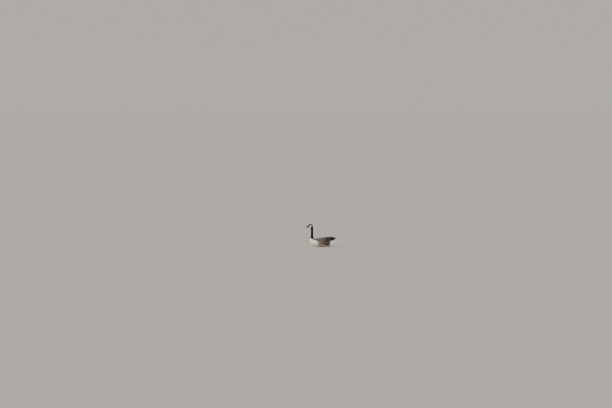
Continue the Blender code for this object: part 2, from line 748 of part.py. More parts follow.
def main():
    clear_scene()
    goose = new_collection("canada_goose")
    cutters = new_collection("cutters")
    frame = bpy.data.objects.new("goose", None)
    goose.objects.link(frame)

    black = principled("black_feather", (0.012, 0.011, 0.010), 0.6)
    horn = principled("black_horn", (0.012, 0.012, 0.013), 0.35)
    brown = principled("brown_feather", (0.11, 0.075, 0.048), 0.75)
    wing_brown = principled("wing_feather", (0.085, 0.060, 0.040), 0.7)
    web_skin = principled("foot_skin", (0.020, 0.019, 0.018), 0.5)
    eye_dark = principled("eye", (0.020, 0.010, 0.006), 0.05)

    form = make_body_form(cutters)
    form_cutter = inflated(form, GAP, "form_cutter", cutters)
    head, face = make_head(form, goose, cutters)
    upper_bill, lower_bill = make_bill(form, goose, cutters)
    neck_upper = body_length(form, "neck_upper", NECK_TOP_CUT, NECK_MIDDLE_CUT, goose)
    neck_lower = body_length(form, "neck_lower", NECK_MIDDLE_CUT, NECK_BASE_CUT, goose)
    torso = body_length(form, "torso", NECK_BASE_CUT, TAIL_CUT, goose)
    tail = make_tail(form, goose)
    wing = make_wing(form_cutter, goose)
    leg, foot = make_leg_and_foot(form_cutter, goose)

    dressed = [(head, black), (neck_upper, black), (neck_lower, black), (upper_bill, horn),
               (lower_bill, horn), (torso, brown), (tail, black), (wing, wing_brown), (leg, web_skin),
               (foot, web_skin)]
    for piece, name, material in ((wing, "wing_left", wing_brown), (leg, "leg_left", web_skin),
                                  (foot, "foot_left", web_skin)):
        dressed.append((mirrored(piece, name, goose), material))
    for side, name in ((-1, "eye_left"), (1, "eye_right")):
        dressed.append((make_eye(face, side, name, goose), eye_dark))
    for piece, material in dressed:
        finish(piece, material, frame)
    for cutter in cutters.objects:
        cutter.hide_render = True
        cutter.display_type = "WIRE"


main()
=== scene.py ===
"""Looks of a life-size Canada goose, at rest on its belly with its neck upright and its feet tucked under.

The goose faces -X, its left side is at -Y and +Z is up, in metres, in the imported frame. The skin, the plumage,
the folded wings, the tail, the bill, the eyes and the feet are meshes over that frame, and none of it moves.
"""

import itertools
import logging
import math
from dataclasses import dataclass, field, replace
from enum import Enum
from typing import NamedTuple, Optional, Sequence, Union

import bmesh
import bpy
import numpy as np
from mathutils import Matrix, Vector
from mathutils.bvhtree import BVHTree

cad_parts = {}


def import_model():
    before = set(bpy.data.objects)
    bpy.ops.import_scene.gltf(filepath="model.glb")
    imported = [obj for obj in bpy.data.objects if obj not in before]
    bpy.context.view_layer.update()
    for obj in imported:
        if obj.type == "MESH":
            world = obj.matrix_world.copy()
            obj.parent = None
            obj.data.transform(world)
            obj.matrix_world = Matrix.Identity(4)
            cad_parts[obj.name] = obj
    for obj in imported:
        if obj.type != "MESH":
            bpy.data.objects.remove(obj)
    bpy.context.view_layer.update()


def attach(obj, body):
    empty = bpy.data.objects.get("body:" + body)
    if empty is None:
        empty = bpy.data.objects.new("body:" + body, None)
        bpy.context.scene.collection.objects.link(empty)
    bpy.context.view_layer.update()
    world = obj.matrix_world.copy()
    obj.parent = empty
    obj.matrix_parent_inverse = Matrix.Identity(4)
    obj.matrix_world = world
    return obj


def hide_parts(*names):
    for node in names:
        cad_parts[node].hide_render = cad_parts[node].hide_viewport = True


LOG = logging.getLogger("canada_goose")
MM = 0.001
FULL_TURN = 2 * math.pi
MIRRORED = np.array([1.0, -1.0, 1.0])
BAKE_PATCH = 0.003  # how wide a feather's patch is in the bake map
EYE_PLACE = (0.0865, 0.0155)  # how far along and up from the bill tip both eyes lie

Array = np.ndarray
Material = bpy.types.Material
Object = bpy.types.Object
Socket = bpy.types.NodeSocket
Pair = tuple[float, float]
Triple = tuple[float, float, float]


class Side(Enum):
    """A side of the goose, by the sign of its y."""

    LEFT = -1
    RIGHT = 1


class Slot(Enum):
    """The record's material slots."""

    BROWN = "brown_feather"
    WING = "wing_feather"
    BLACK = "black_feather"
    STERN = "stern_feather"
    HORN = "bill_horn"
    FOOT = "foot_skin"
    EYE = "eye_gloss"


class Plume(Enum):
    """Colours of the plumage, each as its own sRGB hex value."""

    BLACK = "#090808"
    BLACK_EDGE = "#12100e"
    CHEEK = "#f8f6f1"
    BREAST = "#e1d8cb"
    BREAST_EDGE = "#f0eae0"
    FLANK = "#6a5c4e"
    FLANK_EDGE = "#b5a691"
    BELLY = "#c9beb0"
    BELLY_EDGE = "#e2dacd"
    MANTLE = "#46392d"
    MANTLE_EDGE = "#8f7c66"
    COVERT = "#4e4136"
    COVERT_EDGE = "#a18e77"
    SECONDARY = "#312922"
    SECONDARY_EDGE = "#6a5a4b"
    PRIMARY = "#171310"
    PRIMARY_EDGE = "#302923"
    WHITE = "#f8f6f2"
    RUMP = "#16120f"
    TAIL = "#13100e"
    TAIL_EDGE = "#231d19"


def linear(code: str) -> Triple:
    """Turn an sRGB hex value to linear colour.

    Args:
        code: the colour as #rrggbb.

    Returns:
        Linear red, green and blue.
    """
    channels = [int(code[i:i + 2], 16) / 255 for i in (1, 3, 5)]
    return tuple(c / 12.92 if c <= 0.04045 else ((c + 0.055) / 1.055) ** 2.4 for c in channels)


def smooth(low: float, high: float, values: Array) -> Array:
    """Ease from 0 at low to 1 at high, also where low is the larger of the two."""
    t = np.clip((values - low) / (high - low), 0.0, 1.0)
    return t * t * (3 - 2 * t)


def blend(near: Array, far: Plume, weight: Array) -> Array:
    """Mix rows of colours towards one colour by a weight for each row."""
    return near + (np.array(linear(far.value)) - near) * weight[:, None]


class Tones(NamedTuple):
    """The colours of a row of feathers: of each vane, and of its rim."""

    tone: Array
    rim: Array

    def towards(self, tone: Plume, rim: Plume, weight: Array) -> "Tones":
        """The same rows, mixed towards one pair of colours by a weight for each row."""
        return Tones(blend(self.tone, tone, weight), blend(self.rim, rim, weight))

    def lit(self, light: Array) -> "Tones":
        """The same rows, each lighter or darker by a factor of its own."""
        return Tones(self.tone * light, self.rim * light)


def same_tones(tone: Plume, rim: Plume, number: int) -> Tones:
    """One pair of colours for a whole row of feathers."""
    return Tones(*(np.tile(linear(plume.value), (number, 1)) for plume in (tone, rim)))


# ---- surfaces


class Surface:
    """A smooth form in two coordinates whose outside is on the left of v when u leads ahead."""

    step: float = 0.004

    def point(self, u: Array, v: Array) -> Array:
        """Places on the form, one for each pair of coordinates."""
        raise NotImplementedError

    def tangents(self, u: Array, v: Array) -> tuple[Array, Array]:
        """How fast a place moves with u and with v.

        Args:
            u: first coordinates.
            v: second coordinates, of the same shape.

        Returns:
            The two derivatives, each with x, y and z in its last axis.
        """
        h = self.step
        along = (self.point(u + h, v) - self.point(u - h, v)) / (2 * h)
        across = (self.point(u, v + h) - self.point(u, v - h)) / (2 * h)
        return along, across

    def normal(self, u: Array, v: Array) -> Array:
        """Directions straight out of the form.

        Args:
            u: first coordinates.
            v: second coordinates.

        Returns:
            A unit vector for each place.
        """
        along, across = self.tangents(u, v)
        out = np.cross(across, along)
        return out / np.maximum(np.linalg.norm(out, axis=-1, keepdims=True), 1e-12)


def spline(rows: Array, places: Array) -> Array:
    """The smooth curve through rows of numbers, read at places counted in rows.

    Args:
        rows: the numbers, one row for each whole place.
        places: where to read, of any shape.

    Returns:
        The numbers at each place, in the last axis.
    """
    last = len(rows) - 1
    padded = np.vstack([2 * rows[0] - rows[1], rows, 2 * rows[last] - rows[last - 1]])
    i = np.clip(np.floor(places).astype(int), 0, last - 1)
    t = (places - i)[..., None]
    p0, p1, p2, p3 = (padded[i + k] for k in range(4))
    square = 2 * p0 - 5 * p1 + 4 * p2 - p3
    cube = 3 * p1 - p0 - 3 * p2 + p3
    return 0.5 * (2 * p1 + (p2 - p0) * t + square * t**2 + cube * t**3)


def arc_lengths(points: Array) -> Array:
    """How far along a line each of its points lies."""
    return np.concatenate([[0], np.cumsum(np.linalg.norm(np.diff(points, axis=0), axis=1))])


class Ring(NamedTuple):
    """A section of the body: its under and upper points in the middle plane, and its half width."""

    under: Pair
    upper: Pair
    half_width: float


@dataclass
class BodyForm(Surface):
    """The outside of the plumage from the bill tip to the end of the undertail coverts.

    u counts the rings, and v is the turn round the body from the belly over the right side.
    """

    bill_tip: Pair = (-0.338, 0.4185)
    head_pitch: float = math.radians(15)
    head: Sequence[Ring] = (
        Ring((0.0016, -0.0036), (0.0000, 0.0030), 0.0048), Ring((0.0062, -0.0058), (0.0045, 0.0068), 0.0086),
        Ring((0.0170, -0.0072), (0.0150, 0.0098), 0.0106), Ring((0.0320, -0.0090), (0.0310, 0.0142), 0.0113),
        Ring((0.0500, -0.0112), (0.0520, 0.0205), 0.0124), Ring((0.0655, -0.0160), (0.0685, 0.0292), 0.0166),
        Ring((0.0825, -0.0210), (0.0860, 0.0402), 0.0208), Ring((0.0920, -0.0256), (0.1050, 0.0465), 0.0236),
        Ring((0.0992, -0.0316), (0.1265, 0.0450), 0.0245), Ring((0.1055, -0.0400), (0.1470, 0.0335), 0.0240),
    )
    neck: Sequence[Ring] = (
        Ring((-0.2238, 0.3860), (-0.1805, 0.4580), 0.0230), Ring((-0.2225, 0.3560), (-0.1738, 0.4085), 0.0220),
        Ring((-0.2215, 0.3180), (-0.1725, 0.3400), 0.0216), Ring((-0.2225, 0.2800), (-0.1715, 0.2850), 0.0222),
        Ring((-0.2255, 0.2460), (-0.1700, 0.2450), 0.0250), Ring((-0.2310, 0.2160), (-0.1660, 0.2150), 0.0325),
    )
    torso: Sequence[Ring] = (
        Ring((-0.2395, 0.1840), (-0.1580, 0.1930), 0.0480), Ring((-0.2445, 0.1450), (-0.1430, 0.1790), 0.0720),
        Ring((-0.2390, 0.0970), (-0.1230, 0.1720), 0.0920), Ring((-0.2140, 0.0500), (-0.1000, 0.1710), 0.1040),
        Ring((-0.1650, 0.0150), (-0.0710, 0.1750), 0.1125), Ring((-0.1000, -0.0030), (-0.0370, 0.1820), 0.1175),
        Ring((-0.0300, -0.0042), (0.0060, 0.1890), 0.1195), Ring((0.0400, -0.0042), (0.0550, 0.1945), 0.1175),
        Ring((0.1020, -0.0025), (0.1090, 0.1965), 0.1085), Ring((0.1620, 0.0110), (0.1600, 0.1930), 0.0905),
    )
    stern: Sequence[Ring] = (
        Ring((0.2130, 0.0330), (0.2060, 0.1830), 0.0710), Ring((0.2520, 0.0620), (0.2430, 0.1730), 0.0550),
        Ring((0.2790, 0.0930), (0.2710, 0.1715), 0.0420), Ring((0.2960, 0.1210), (0.2930, 0.1755), 0.0320),
        Ring((0.3070, 0.1420), (0.3050, 0.1780), 0.0235), Ring((0.3180, 0.1590), (0.3160, 0.1800), 0.0165),
        Ring((0.3270, 0.1740), (0.3265, 0.1818), 0.0080), Ring((0.3310, 0.1826), (0.3310, 0.1832), 0.0010),
    )
    bill_end: float = 4.0
    head_end: float = 9.5
    neck_end: float = 15.6
    torso_end: float = 26.3
    skin_end: float = 30.0
    rows: Array = field(init=False)

    def __post_init__(self) -> None:
        """Set every ring in the goose's own x and z."""
        rings = [Ring(self.pitched(*r.under), self.pitched(*r.upper), r.half_width) for r in self.head]
        rings += [*self.neck, *self.torso, *self.stern]
        self.rows = np.array([(*r.under, *r.upper, r.half_width) for r in rings])

    @property
    def last(self) -> float:
        """The place of the last ring."""
        return float(len(self.rows) - 1)

    def pitched(self, along: float, up: float) -> Pair:
        """A place on the head, measured from the bill tip, in the goose's own x and z."""
        cos, sin = math.cos(self.head_pitch), math.sin(self.head_pitch)
        return self.bill_tip[0] + along * cos - up * sin, self.bill_tip[1] + along * sin + up * cos

    def on_head(self, points: Array) -> tuple[Array, Array]:
        """How far points lie along the head and up from its axis, measured from the bill tip.

        Args:
            points: places in the goose's own x, y and z.

        Returns:
            The two distances of each point.
        """
        cos, sin = math.cos(self.head_pitch), math.sin(self.head_pitch)
        dx, dz = points[..., 0] - self.bill_tip[0], points[..., 2] - self.bill_tip[1]
        return dx * cos + dz * sin, dz * cos - dx * sin

    def point(self, u: Array, v: Array) -> Array:
        """Places on the body, flattened where it meets the floor.

        Args:
            u: first coordinates.
            v: second coordinates.

        Returns:
            x, y and z of each place.
        """
        under_x, under_z, upper_x, upper_z, half_width = np.moveaxis(spline(self.rows, u), -1, 0)
        share = (1 - np.cos(v)) / 2
        x = under_x + (upper_x - under_x) * share
        z = under_z + (upper_z - under_z) * share
        return np.stack([x, half_width * np.sin(v), np.maximum(z, 0.0)], axis=-1)


@dataclass
class WingForm(Surface):
    """The outside of the folded right wing: u runs from shoulder to tip, v from its lower to its upper edge."""

    lower: Sequence[Triple] = (
        (-0.150, 0.0960, 0.1120), (-0.100, 0.1150, 0.0980), (-0.050, 0.1225, 0.0950), (0.000, 0.1255, 0.0980),
        (0.050, 0.1235, 0.1060), (0.100, 0.1145, 0.1150), (0.150, 0.0980, 0.1235), (0.215, 0.0745, 0.1325),
        (0.275, 0.0480, 0.1470), (0.325, 0.0270, 0.1700))
    upper: Sequence[Triple] = (
        (-0.142, 0.0830, 0.1400), (-0.100, 0.0680, 0.1640), (-0.050, 0.0480, 0.1840), (0.000, 0.0240, 0.2000),
        (0.050, 0.0080, 0.2080), (0.100, 0.0045, 0.2135), (0.150, 0.0040, 0.2180), (0.215, 0.0040, 0.2195),
        (0.275, 0.0045, 0.2155), (0.325, 0.0080, 0.2105))
    bulge: Sequence[float] = (0.004, 0.013, 0.019, 0.025, 0.028, 0.028, 0.023, 0.013, 0.006, 0.001)
    rows: Array = field(init=False)

    def __post_init__(self) -> None:
        """Join the stations of the wing into rows of numbers."""
        self.rows = np.column_stack([self.lower, self.upper, self.bulge])

    def point(self, u: Array, v: Array) -> Array:
        """Places on the folded wing.

        Args:
            u: first coordinates.
            v: second coordinates.

        Returns:
            x, y and z of each place.
        """
        row = spline(self.rows, u * (len(self.rows) - 1))
        low, high, bulge = row[..., 0:3], row[..., 3:6], row[..., 6]
        rise = high - low
        out = np.stack([np.zeros_like(bulge), rise[..., 2], -rise[..., 1]], axis=-1)
        out /= np.linalg.norm(out, axis=-1, keepdims=True)
        return low + rise * v[..., None] + out * (bulge * 4 * v * (1 - v))[..., None]


@dataclass
class BackForm(Surface):
    """The folded wings and the back between them as one smooth arch.

    u runs as on the wing, and v from the right wing's lower edge, at -1, over the back to the left one's, at 1.
    """

    wing: WingForm
    joined_at: float = 0.80
    bridge: float = 0.22

    def wing_place(self, v: Array) -> Array:
        """How far up the wing a place of the arch lies, outside its bridge."""
        return self.joined_at * (1 - np.abs(v)) / (1 - self.bridge)

    def point(self, u: Array, v: Array) -> Array:
        """Places on the arch.

        Args:
            u: first coordinates.
            v: second coordinates.

        Returns:
            x, y and z of each place.
        """
        on_wing = self.wing.point(u, np.minimum(self.wing_place(v), self.joined_at))
        edge = np.full_like(v, self.joined_at)
        start = self.wing.point(u, edge)
        rise = start - self.wing.point(u, edge - 0.02)
        rise /= np.linalg.norm(rise, axis=-1, keepdims=True)
        span = 2 * start[..., 1:2]
        t = (np.clip(v, -self.bridge, self.bridge)[..., None] + self.bridge) / (2 * self.bridge)
        far = start * MIRRORED
        leave, arrive = rise * span, -rise * MIRRORED * span
        arch = start * (2 * t**3 - 3 * t**2 + 1) + leave * (t**3 - 2 * t**2 + t)
        arch = arch + far * (3 * t**2 - 2 * t**3) + arrive * (t**3 - t**2)
        on_wing = np.where(v[..., None] > 0, on_wing * MIRRORED, on_wing)
        return np.where(np.abs(v)[..., None] < self.bridge, arch, on_wing)


# ---- joined meshes of vanes


class VaneShape(NamedTuple):
    """The outline of a feather: shares of its length, its width at each, and how many points lie across."""

    steps: Sequence[float]
    widths: Sequence[float]
    columns: int

    def faces(self) -> list[Sequence[int]]:
        """The faces of one closed vane.

        Returns:
            The corners of each face.
        """
        rows, columns = len(self.steps), self.columns
        faces: list[Sequence[int]] = []
        for r in range(rows - 1):
            left, right = r * columns, r * columns + columns - 1
            faces += [(i, i + 1, i + columns + 1, i + columns) for i in range(left, right)]
            faces.append((left, left + columns, right + columns, right))
        return faces + [range(columns - 1, -1, -1), range((rows - 1) * columns, rows * columns)]


SMALL_CONTOUR = VaneShape((0, 0.30, 0.62, 0.86, 1), (0.60, 1.0, 0.94, 0.60, 0.14), 3)
BODY_CONTOUR = VaneShape((0, 0.28, 0.54, 0.76, 0.91, 1), (0.50, 0.92, 1.0, 0.88, 0.58, 0.16), 5)
COVERT_VANE = VaneShape((0, 0.18, 0.38, 0.56, 0.72, 0.85, 0.94, 1),
                        (0.40, 0.76, 0.94, 1.0, 0.97, 0.82, 0.55, 0.20), 7)
FLIGHT_VANE = VaneShape((0, 0.12, 0.26, 0.40, 0.54, 0.67, 0.78, 0.87, 0.94, 0.98, 1),
                        (0.45, 0.72, 0.90, 0.98, 1.0, 0.99, 0.95, 0.85, 0.64, 0.38, 0.16), 7)


@dataclass
class Drape:
    """The folded wings and the back between them, which the body feathers beside them lap over."""

    tree: BVHTree
    rise_reach: float = 26 * MM
    lean_reach: float = 75 * MM
    clearance: float = 3.6 * MM
    easing: float = 3 * MM
    most: float = 15 * MM

    def lift(self, points: Array, normals: Array) -> tuple[Array, Array]:
        """How far feathers rise to pass over the wings, easing off beside them.

        Args:
            points: places on the body.
            normals: the way out at each place.

        Returns:
            The rise at each place, and how near it lies to a wing, from 0 to 1.
        """
        rise = np.zeros(points.shape[:-1])
        near_to = np.zeros(points.shape[:-1])
        for index in np.ndindex(rise.shape):
            point, normal = Vector(points[index]), Vector(normals[index])
            near = self.tree.find_nearest(point, self.lean_reach)[0]
            if near is None:
                continue
            out = (near - point).dot(normal)
            beside = (near - point - normal * out).length
            share = max(0.0, 1 - beside / self.rise_reach)
            share = share * share * (3 - 2 * share)
            over = max(0.0, out + self.easing)
            level = over**2 / (over + self.easing)
            rise[index] = min(level + self.clearance, self.most) * share
            near_to[index] = 1 - min(1.0, beside / self.lean_reach)
        return rise, near_to**2


@dataclass
class VaneSet:
    """Like vanes to lay on a surface: each field has a value for every vane, or one number that holds for all."""

    u: Array
    v: Array
    du: Array
    dv: Array
    width: Array
    root_lift: Array
    tip_lift: Array
    crown: Array
    tone: Array
    fringe: Array
    bake: Array
    twist: float = 0.0
    roundness: float = 0.42
    barb_spacing: float = 1.3 * MM

    def __post_init__(self) -> None:
        """Repeat the numbers that hold for all."""
        for name in ("u", "du", "dv", "width", "root_lift", "tip_lift", "crown"):
            setattr(self, name, np.broadcast_to(getattr(self, name), self.v.shape))

    def kept(self, keep: Array) -> "VaneSet":
        """The vanes that a mask keeps."""
        return replace(self, **{name: value[keep] for name, value in vars(self).items() if np.ndim(value)})


@dataclass
class VaneMesh:
    """Many vanes gathered into one mesh. Soft ones take the shading of the form under them."""

    name: str
    soft: bool = True
    widest: float = 1.15
    count: int = 0
    columns: dict[str, list[Array]] = field(default_factory=dict)
    corners: list[Array] = field(default_factory=list)
    sizes: list[Array] = field(default_factory=list)

    def lay(self, surface: Surface, shape: VaneShape, vanes: VaneSet, mirror: bool = False,
            drape: Optional[Drape] = None) -> None:
        """Lay vanes on a surface, each along its own line and bent with the surface across its width.

        Args:
            surface: the form that carries them.
            shape: their outline.
            vanes: where each one lies, its size and its colours.
            mirror: whether they go to the other side of the middle plane.
            drape: what else they lie over.
        """
        number = len(vanes.u)
        if not number:
            return
        steps = np.array(shape.steps)[None, :, None]
        profile = np.array(shape.widths)[None, :, None]
        spread = np.linspace(-1, 1, shape.columns)[None, None, :]
        each = (slice(None), None, None)
        u = vanes.u[each] + vanes.du[each] * steps + 0 * spread
        middle = vanes.v[each] + vanes.dv[each] * steps + 0 * spread
        reach = np.linalg.norm(surface.tangents(u, middle)[1], axis=-1)
        # Round a thin form a vane stays narrower than the form
        half = np.minimum(profile * vanes.width[each] / 2 / np.maximum(reach, 1e-6), self.widest)
        v = middle + spread * half
        points, normals = surface.point(u, v), surface.normal(u, v)
        lift = vanes.root_lift[each] + (vanes.tip_lift - vanes.root_lift)[each] * steps**0.85
        lift = lift + vanes.crown[each] * (1 - spread**2) * np.minimum(1, profile * 1.2)
        lift = lift - spread * vanes.twist * np.minimum(1, 2 * steps)
        if drape:
            # Each row of points tilts as one, so that no vane turns inside out
            rise = drape.lift(points[:, :, (0, -1)], normals[:, :, (0, -1)])[0]
            lift = lift + rise[:, :, :1] + (rise[:, :, 1:] - rise[:, :, :1]) * (spread + 1) / 2
        points = points + normals * lift[..., None]
        # Pressed flat on the floor, a vane keeps its arch, and its tip still laps over the next root
        floor = (0.2 + 0.4 * np.abs(spread) + 0.6 * (1 - steps)) * MM
        points[..., 2] = np.maximum(points[..., 2], floor)
        across = points[:, :, -1:] - points[:, :, :1]
        across /= np.maximum(np.linalg.norm(across, axis=-1, keepdims=True), 1e-9)
        rounded = normals + across * (spread * vanes.roundness)[..., None]
        if mirror:
            points, rounded = points * MIRRORED, rounded * MIRRORED
        cells = shape.columns * len(shape.steps)
        length = np.linalg.norm(points[:, -1, 0] - points[:, 0, 0], axis=-1)
        local = np.broadcast_to(np.stack(np.broadcast_arrays((spread + 1) / 2, steps), -1), (*u.shape, 2))
        bake = vanes.bake[:, None, None, :] + (local - 0.5) * BAKE_PATCH
        for name, values in (("point", points.reshape(-1, 3)), ("normal", rounded.reshape(-1, 3)),
                             ("vane", local.reshape(-1, 2)), ("OFBake", bake.reshape(-1, 2)),
                             ("tone", np.repeat(vanes.tone, cells, axis=0)),
                             ("fringe", np.repeat(vanes.fringe, cells, axis=0)),
                             ("barbs", np.repeat(length / vanes.barb_spacing, cells))):
            self.columns.setdefault(name, []).append(values)
        faces = [face[::-1] if mirror else face for face in shape.faces()]
        corners = np.array([corner for face in faces for corner in face])
        offsets = self.count + cells * np.arange(number)[:, None]
        self.corners.append((corners + offsets).ravel())
        self.sizes.append(np.tile([len(face) for face in faces], number))
        self.count += number * cells

    def build(self) -> Object:
        """Make the object.

        Returns:
            The new object, linked to the scene, without a material.
        """
        data = {name: np.concatenate(values) for name, values in self.columns.items()}
        corners = np.concatenate(self.corners)
        obj = object_from_arrays(self.name, data["point"], corners, np.concatenate(self.sizes))
        mesh = obj.data
        for name in ("vane", "OFBake"):
            mesh.uv_layers.new(name=name).data.foreach_set("uv", data[name][corners].ravel())
        for name in ("tone", "fringe"):
            paint(mesh, name, data[name])
        mesh.attributes.new("barbs", "FLOAT", "POINT").data.foreach_set("value", data["barbs"])
        if self.soft:
            normals = data["normal"] / np.linalg.norm(data["normal"], axis=1, keepdims=True)
            mesh.normals_split_custom_set_from_vertices(normals)
        else:
            mesh.set_sharp_from_angle(angle=math.radians(50))
        return obj


def object_from_arrays(name: str, points: Array, corners: Array, sizes: Array) -> Object:
    """Make a smooth mesh object from arrays.

    Args:
        name: its name.
        points: the vertices.
        corners: the vertices of all faces, one after another.
        sizes: how many corners each face has.

    Returns:
        The object, linked to the scene.
    """
    mesh = bpy.data.meshes.new(name)
    mesh.vertices.add(len(points))
    mesh.vertices.foreach_set("co", np.ascontiguousarray(points, dtype=np.float32).ravel())
    mesh.loops.add(len(corners))
    mesh.loops.foreach_set("vertex_index", np.ascontiguousarray(corners, dtype=np.int32))
    mesh.polygons.add(len(sizes))
    starts = np.concatenate([[0], np.cumsum(sizes)[:-1]]).astype(np.int32)
    mesh.polygons.foreach_set("loop_start", starts)
    mesh.polygons.foreach_set("use_smooth", np.ones(len(sizes), dtype=bool))
    mesh.update(calc_edges=True)
    mesh.validate()
    obj = bpy.data.objects.new(name, mesh)
    bpy.context.scene.collection.objects.link(obj)
    return obj


def paint(mesh: bpy.types.Mesh, name: str, colours: Array) -> None:
    """Store a colour for each vertex of a mesh.

    Args:
        mesh: the mesh.
        name: the attribute's name.
        colours: linear red, green and blue, in rows.
    """
    layer = mesh.attributes.new(name, "FLOAT_COLOR", "POINT")
    full = np.ones((len(colours), 4), dtype=np.float32)
    full[:, :3] = colours
    layer.data.foreach_set("color", full.ravel())


def corners_of(mesh: bpy.types.Mesh) -> Array:
    """Which vertex lies at each corner of a mesh's faces.

    Args:
        mesh: the mesh.

    Returns:
        The vertices' numbers, one face after another.
    """
    corners = np.zeros(len(mesh.loops), dtype=np.int32)
    mesh.loops.foreach_get("vertex_index", corners)
    return corners


def grid_object(name: str, upper: Array, under: Optional[Array] = None, ring: bool = False) -> Object:
    """Make a closed object from grids of points.

    Args:
        name: its name.
        upper: the outer grid, with u along its first axis. Without an under grid it closes round its second
            axis, as a tube does.
        under: the inner grid of a sheet, of the same shape.
        ring: whether a tube runs back into itself, instead of closing at both its ends.

    Returns:
        The object, linked to the scene.
    """
    rows, columns = upper.shape[:2]
    points = upper.reshape(-1, 3)
    faces: list[Sequence[int]] = []
    if under is None:
        for r in range(rows if ring else rows - 1):
            for c in range(columns):
                near, far, n = r * columns, (r + 1) % rows * columns, (c + 1) % columns
                faces.append((near + c, near + n, far + n, far + c))
        if not ring:
            faces += [range(columns - 1, -1, -1), range((rows - 1) * columns, rows * columns)]
    else:
        base = rows * columns
        for r in range(rows - 1):
            for c in range(columns - 1):
                i = r * columns + c
                faces.append((i, i + 1, i + columns + 1, i + columns))
                faces.append((base + i, base + i + columns, base + i + columns + 1, base + i + 1))
        rim = [(0, c) for c in range(columns)] + [(r, columns - 1) for r in range(1, rows)]
        rim += [(rows - 1, c) for c in range(columns - 2, -1, -1)] + [(r, 0) for r in range(rows - 2, 0, -1)]
        for near, far in zip(rim, rim[1:] + rim[:1]):
            i, j = near[0] * columns + near[1], far[0] * columns + far[1]
            faces.append((j, i, base + i, base + j))
        points = np.concatenate([points, under.reshape(-1, 3)])
    corners = np.array([corner for face in faces for corner in face])
    return object_from_arrays(name, points, corners, np.array([len(face) for face in faces]))


def tree_of(obj: Object) -> BVHTree:
    """A search tree of an object's faces."""
    graph = bpy.context.evaluated_depsgraph_get()
    return BVHTree.FromObject(obj, graph)


# ---- finishes


def add_node(owner: Union[Material, bpy.types.World], kind: str, inputs: Optional[dict] = None,
             output: Union[int, str] = 0, **settings: object) -> Socket:
    """Add a node with its settings, values and links.

    Args:
        owner: the material or the world that gets it.
        kind: the node's type, without the words that all types begin with.
        inputs: a value or an output socket for each input, by name or number.
        output: which of its outputs to return, by name or number.
        settings: the node's own properties.

    Returns:
        That output socket.
    """
    node = owner.node_tree.nodes.new(f"ShaderNode{kind}")
    for name, value in settings.items():
        setattr(node, name, value)
    for name, value in (inputs or {}).items():
        if isinstance(value, Socket):
            owner.node_tree.links.new(value, node.inputs[name])
        else:
            node.inputs[name].default_value = value
    return node.outputs[output]


def shader_of(material: Material) -> bpy.types.Node:
    """The material's shader node."""
    return material.node_tree.nodes["Principled BSDF"]


def new_material(name: str, roughness: float, specular: float, sheen: float = 0.0) -> Material:
    """A material whose constant values are set on the shader's own sockets.

    Args:
        name: the material's name.
        roughness: how matt it is.
        specular: how much it reflects head on.
        sheen: how much its fuzz catches the light at the edges.

    Returns:
        The material.
    """
    material = bpy.data.materials.new(name)
    material.use_nodes = True
    for socket, value in (("Roughness", roughness), ("Specular IOR Level", specular), ("Sheen Weight", sheen),
                          ("Sheen Roughness", 0.5)):
        shader_of(material).inputs[socket].default_value = value
    return material


def connect(material: Material, output: Socket, name: str) -> None:
    """Link an output to one of the shader's inputs."""
    material.node_tree.links.new(output, shader_of(material).inputs[name])


def ramp(material: Material, value: Socket, low: float, high: float) -> Socket:
    """A smooth rise of a value from 0 at low to 1 at high, also where low is the larger of the two.

    Args:
        material: the material that gets it.
        value: what it reads.
        low: where it is 0.
        high: where it is 1.

    Returns:
        The output from 0 to 1.
    """
    settings = {"Value": value, "From Min": min(low, high), "From Max": max(low, high)}
    settings.update({"To Min": 0.0, "To Max": 1.0} if low < high else {"To Min": 1.0, "To Max": 0.0})
    return add_node(material, "MapRange", settings, interpolation_type="SMOOTHSTEP")


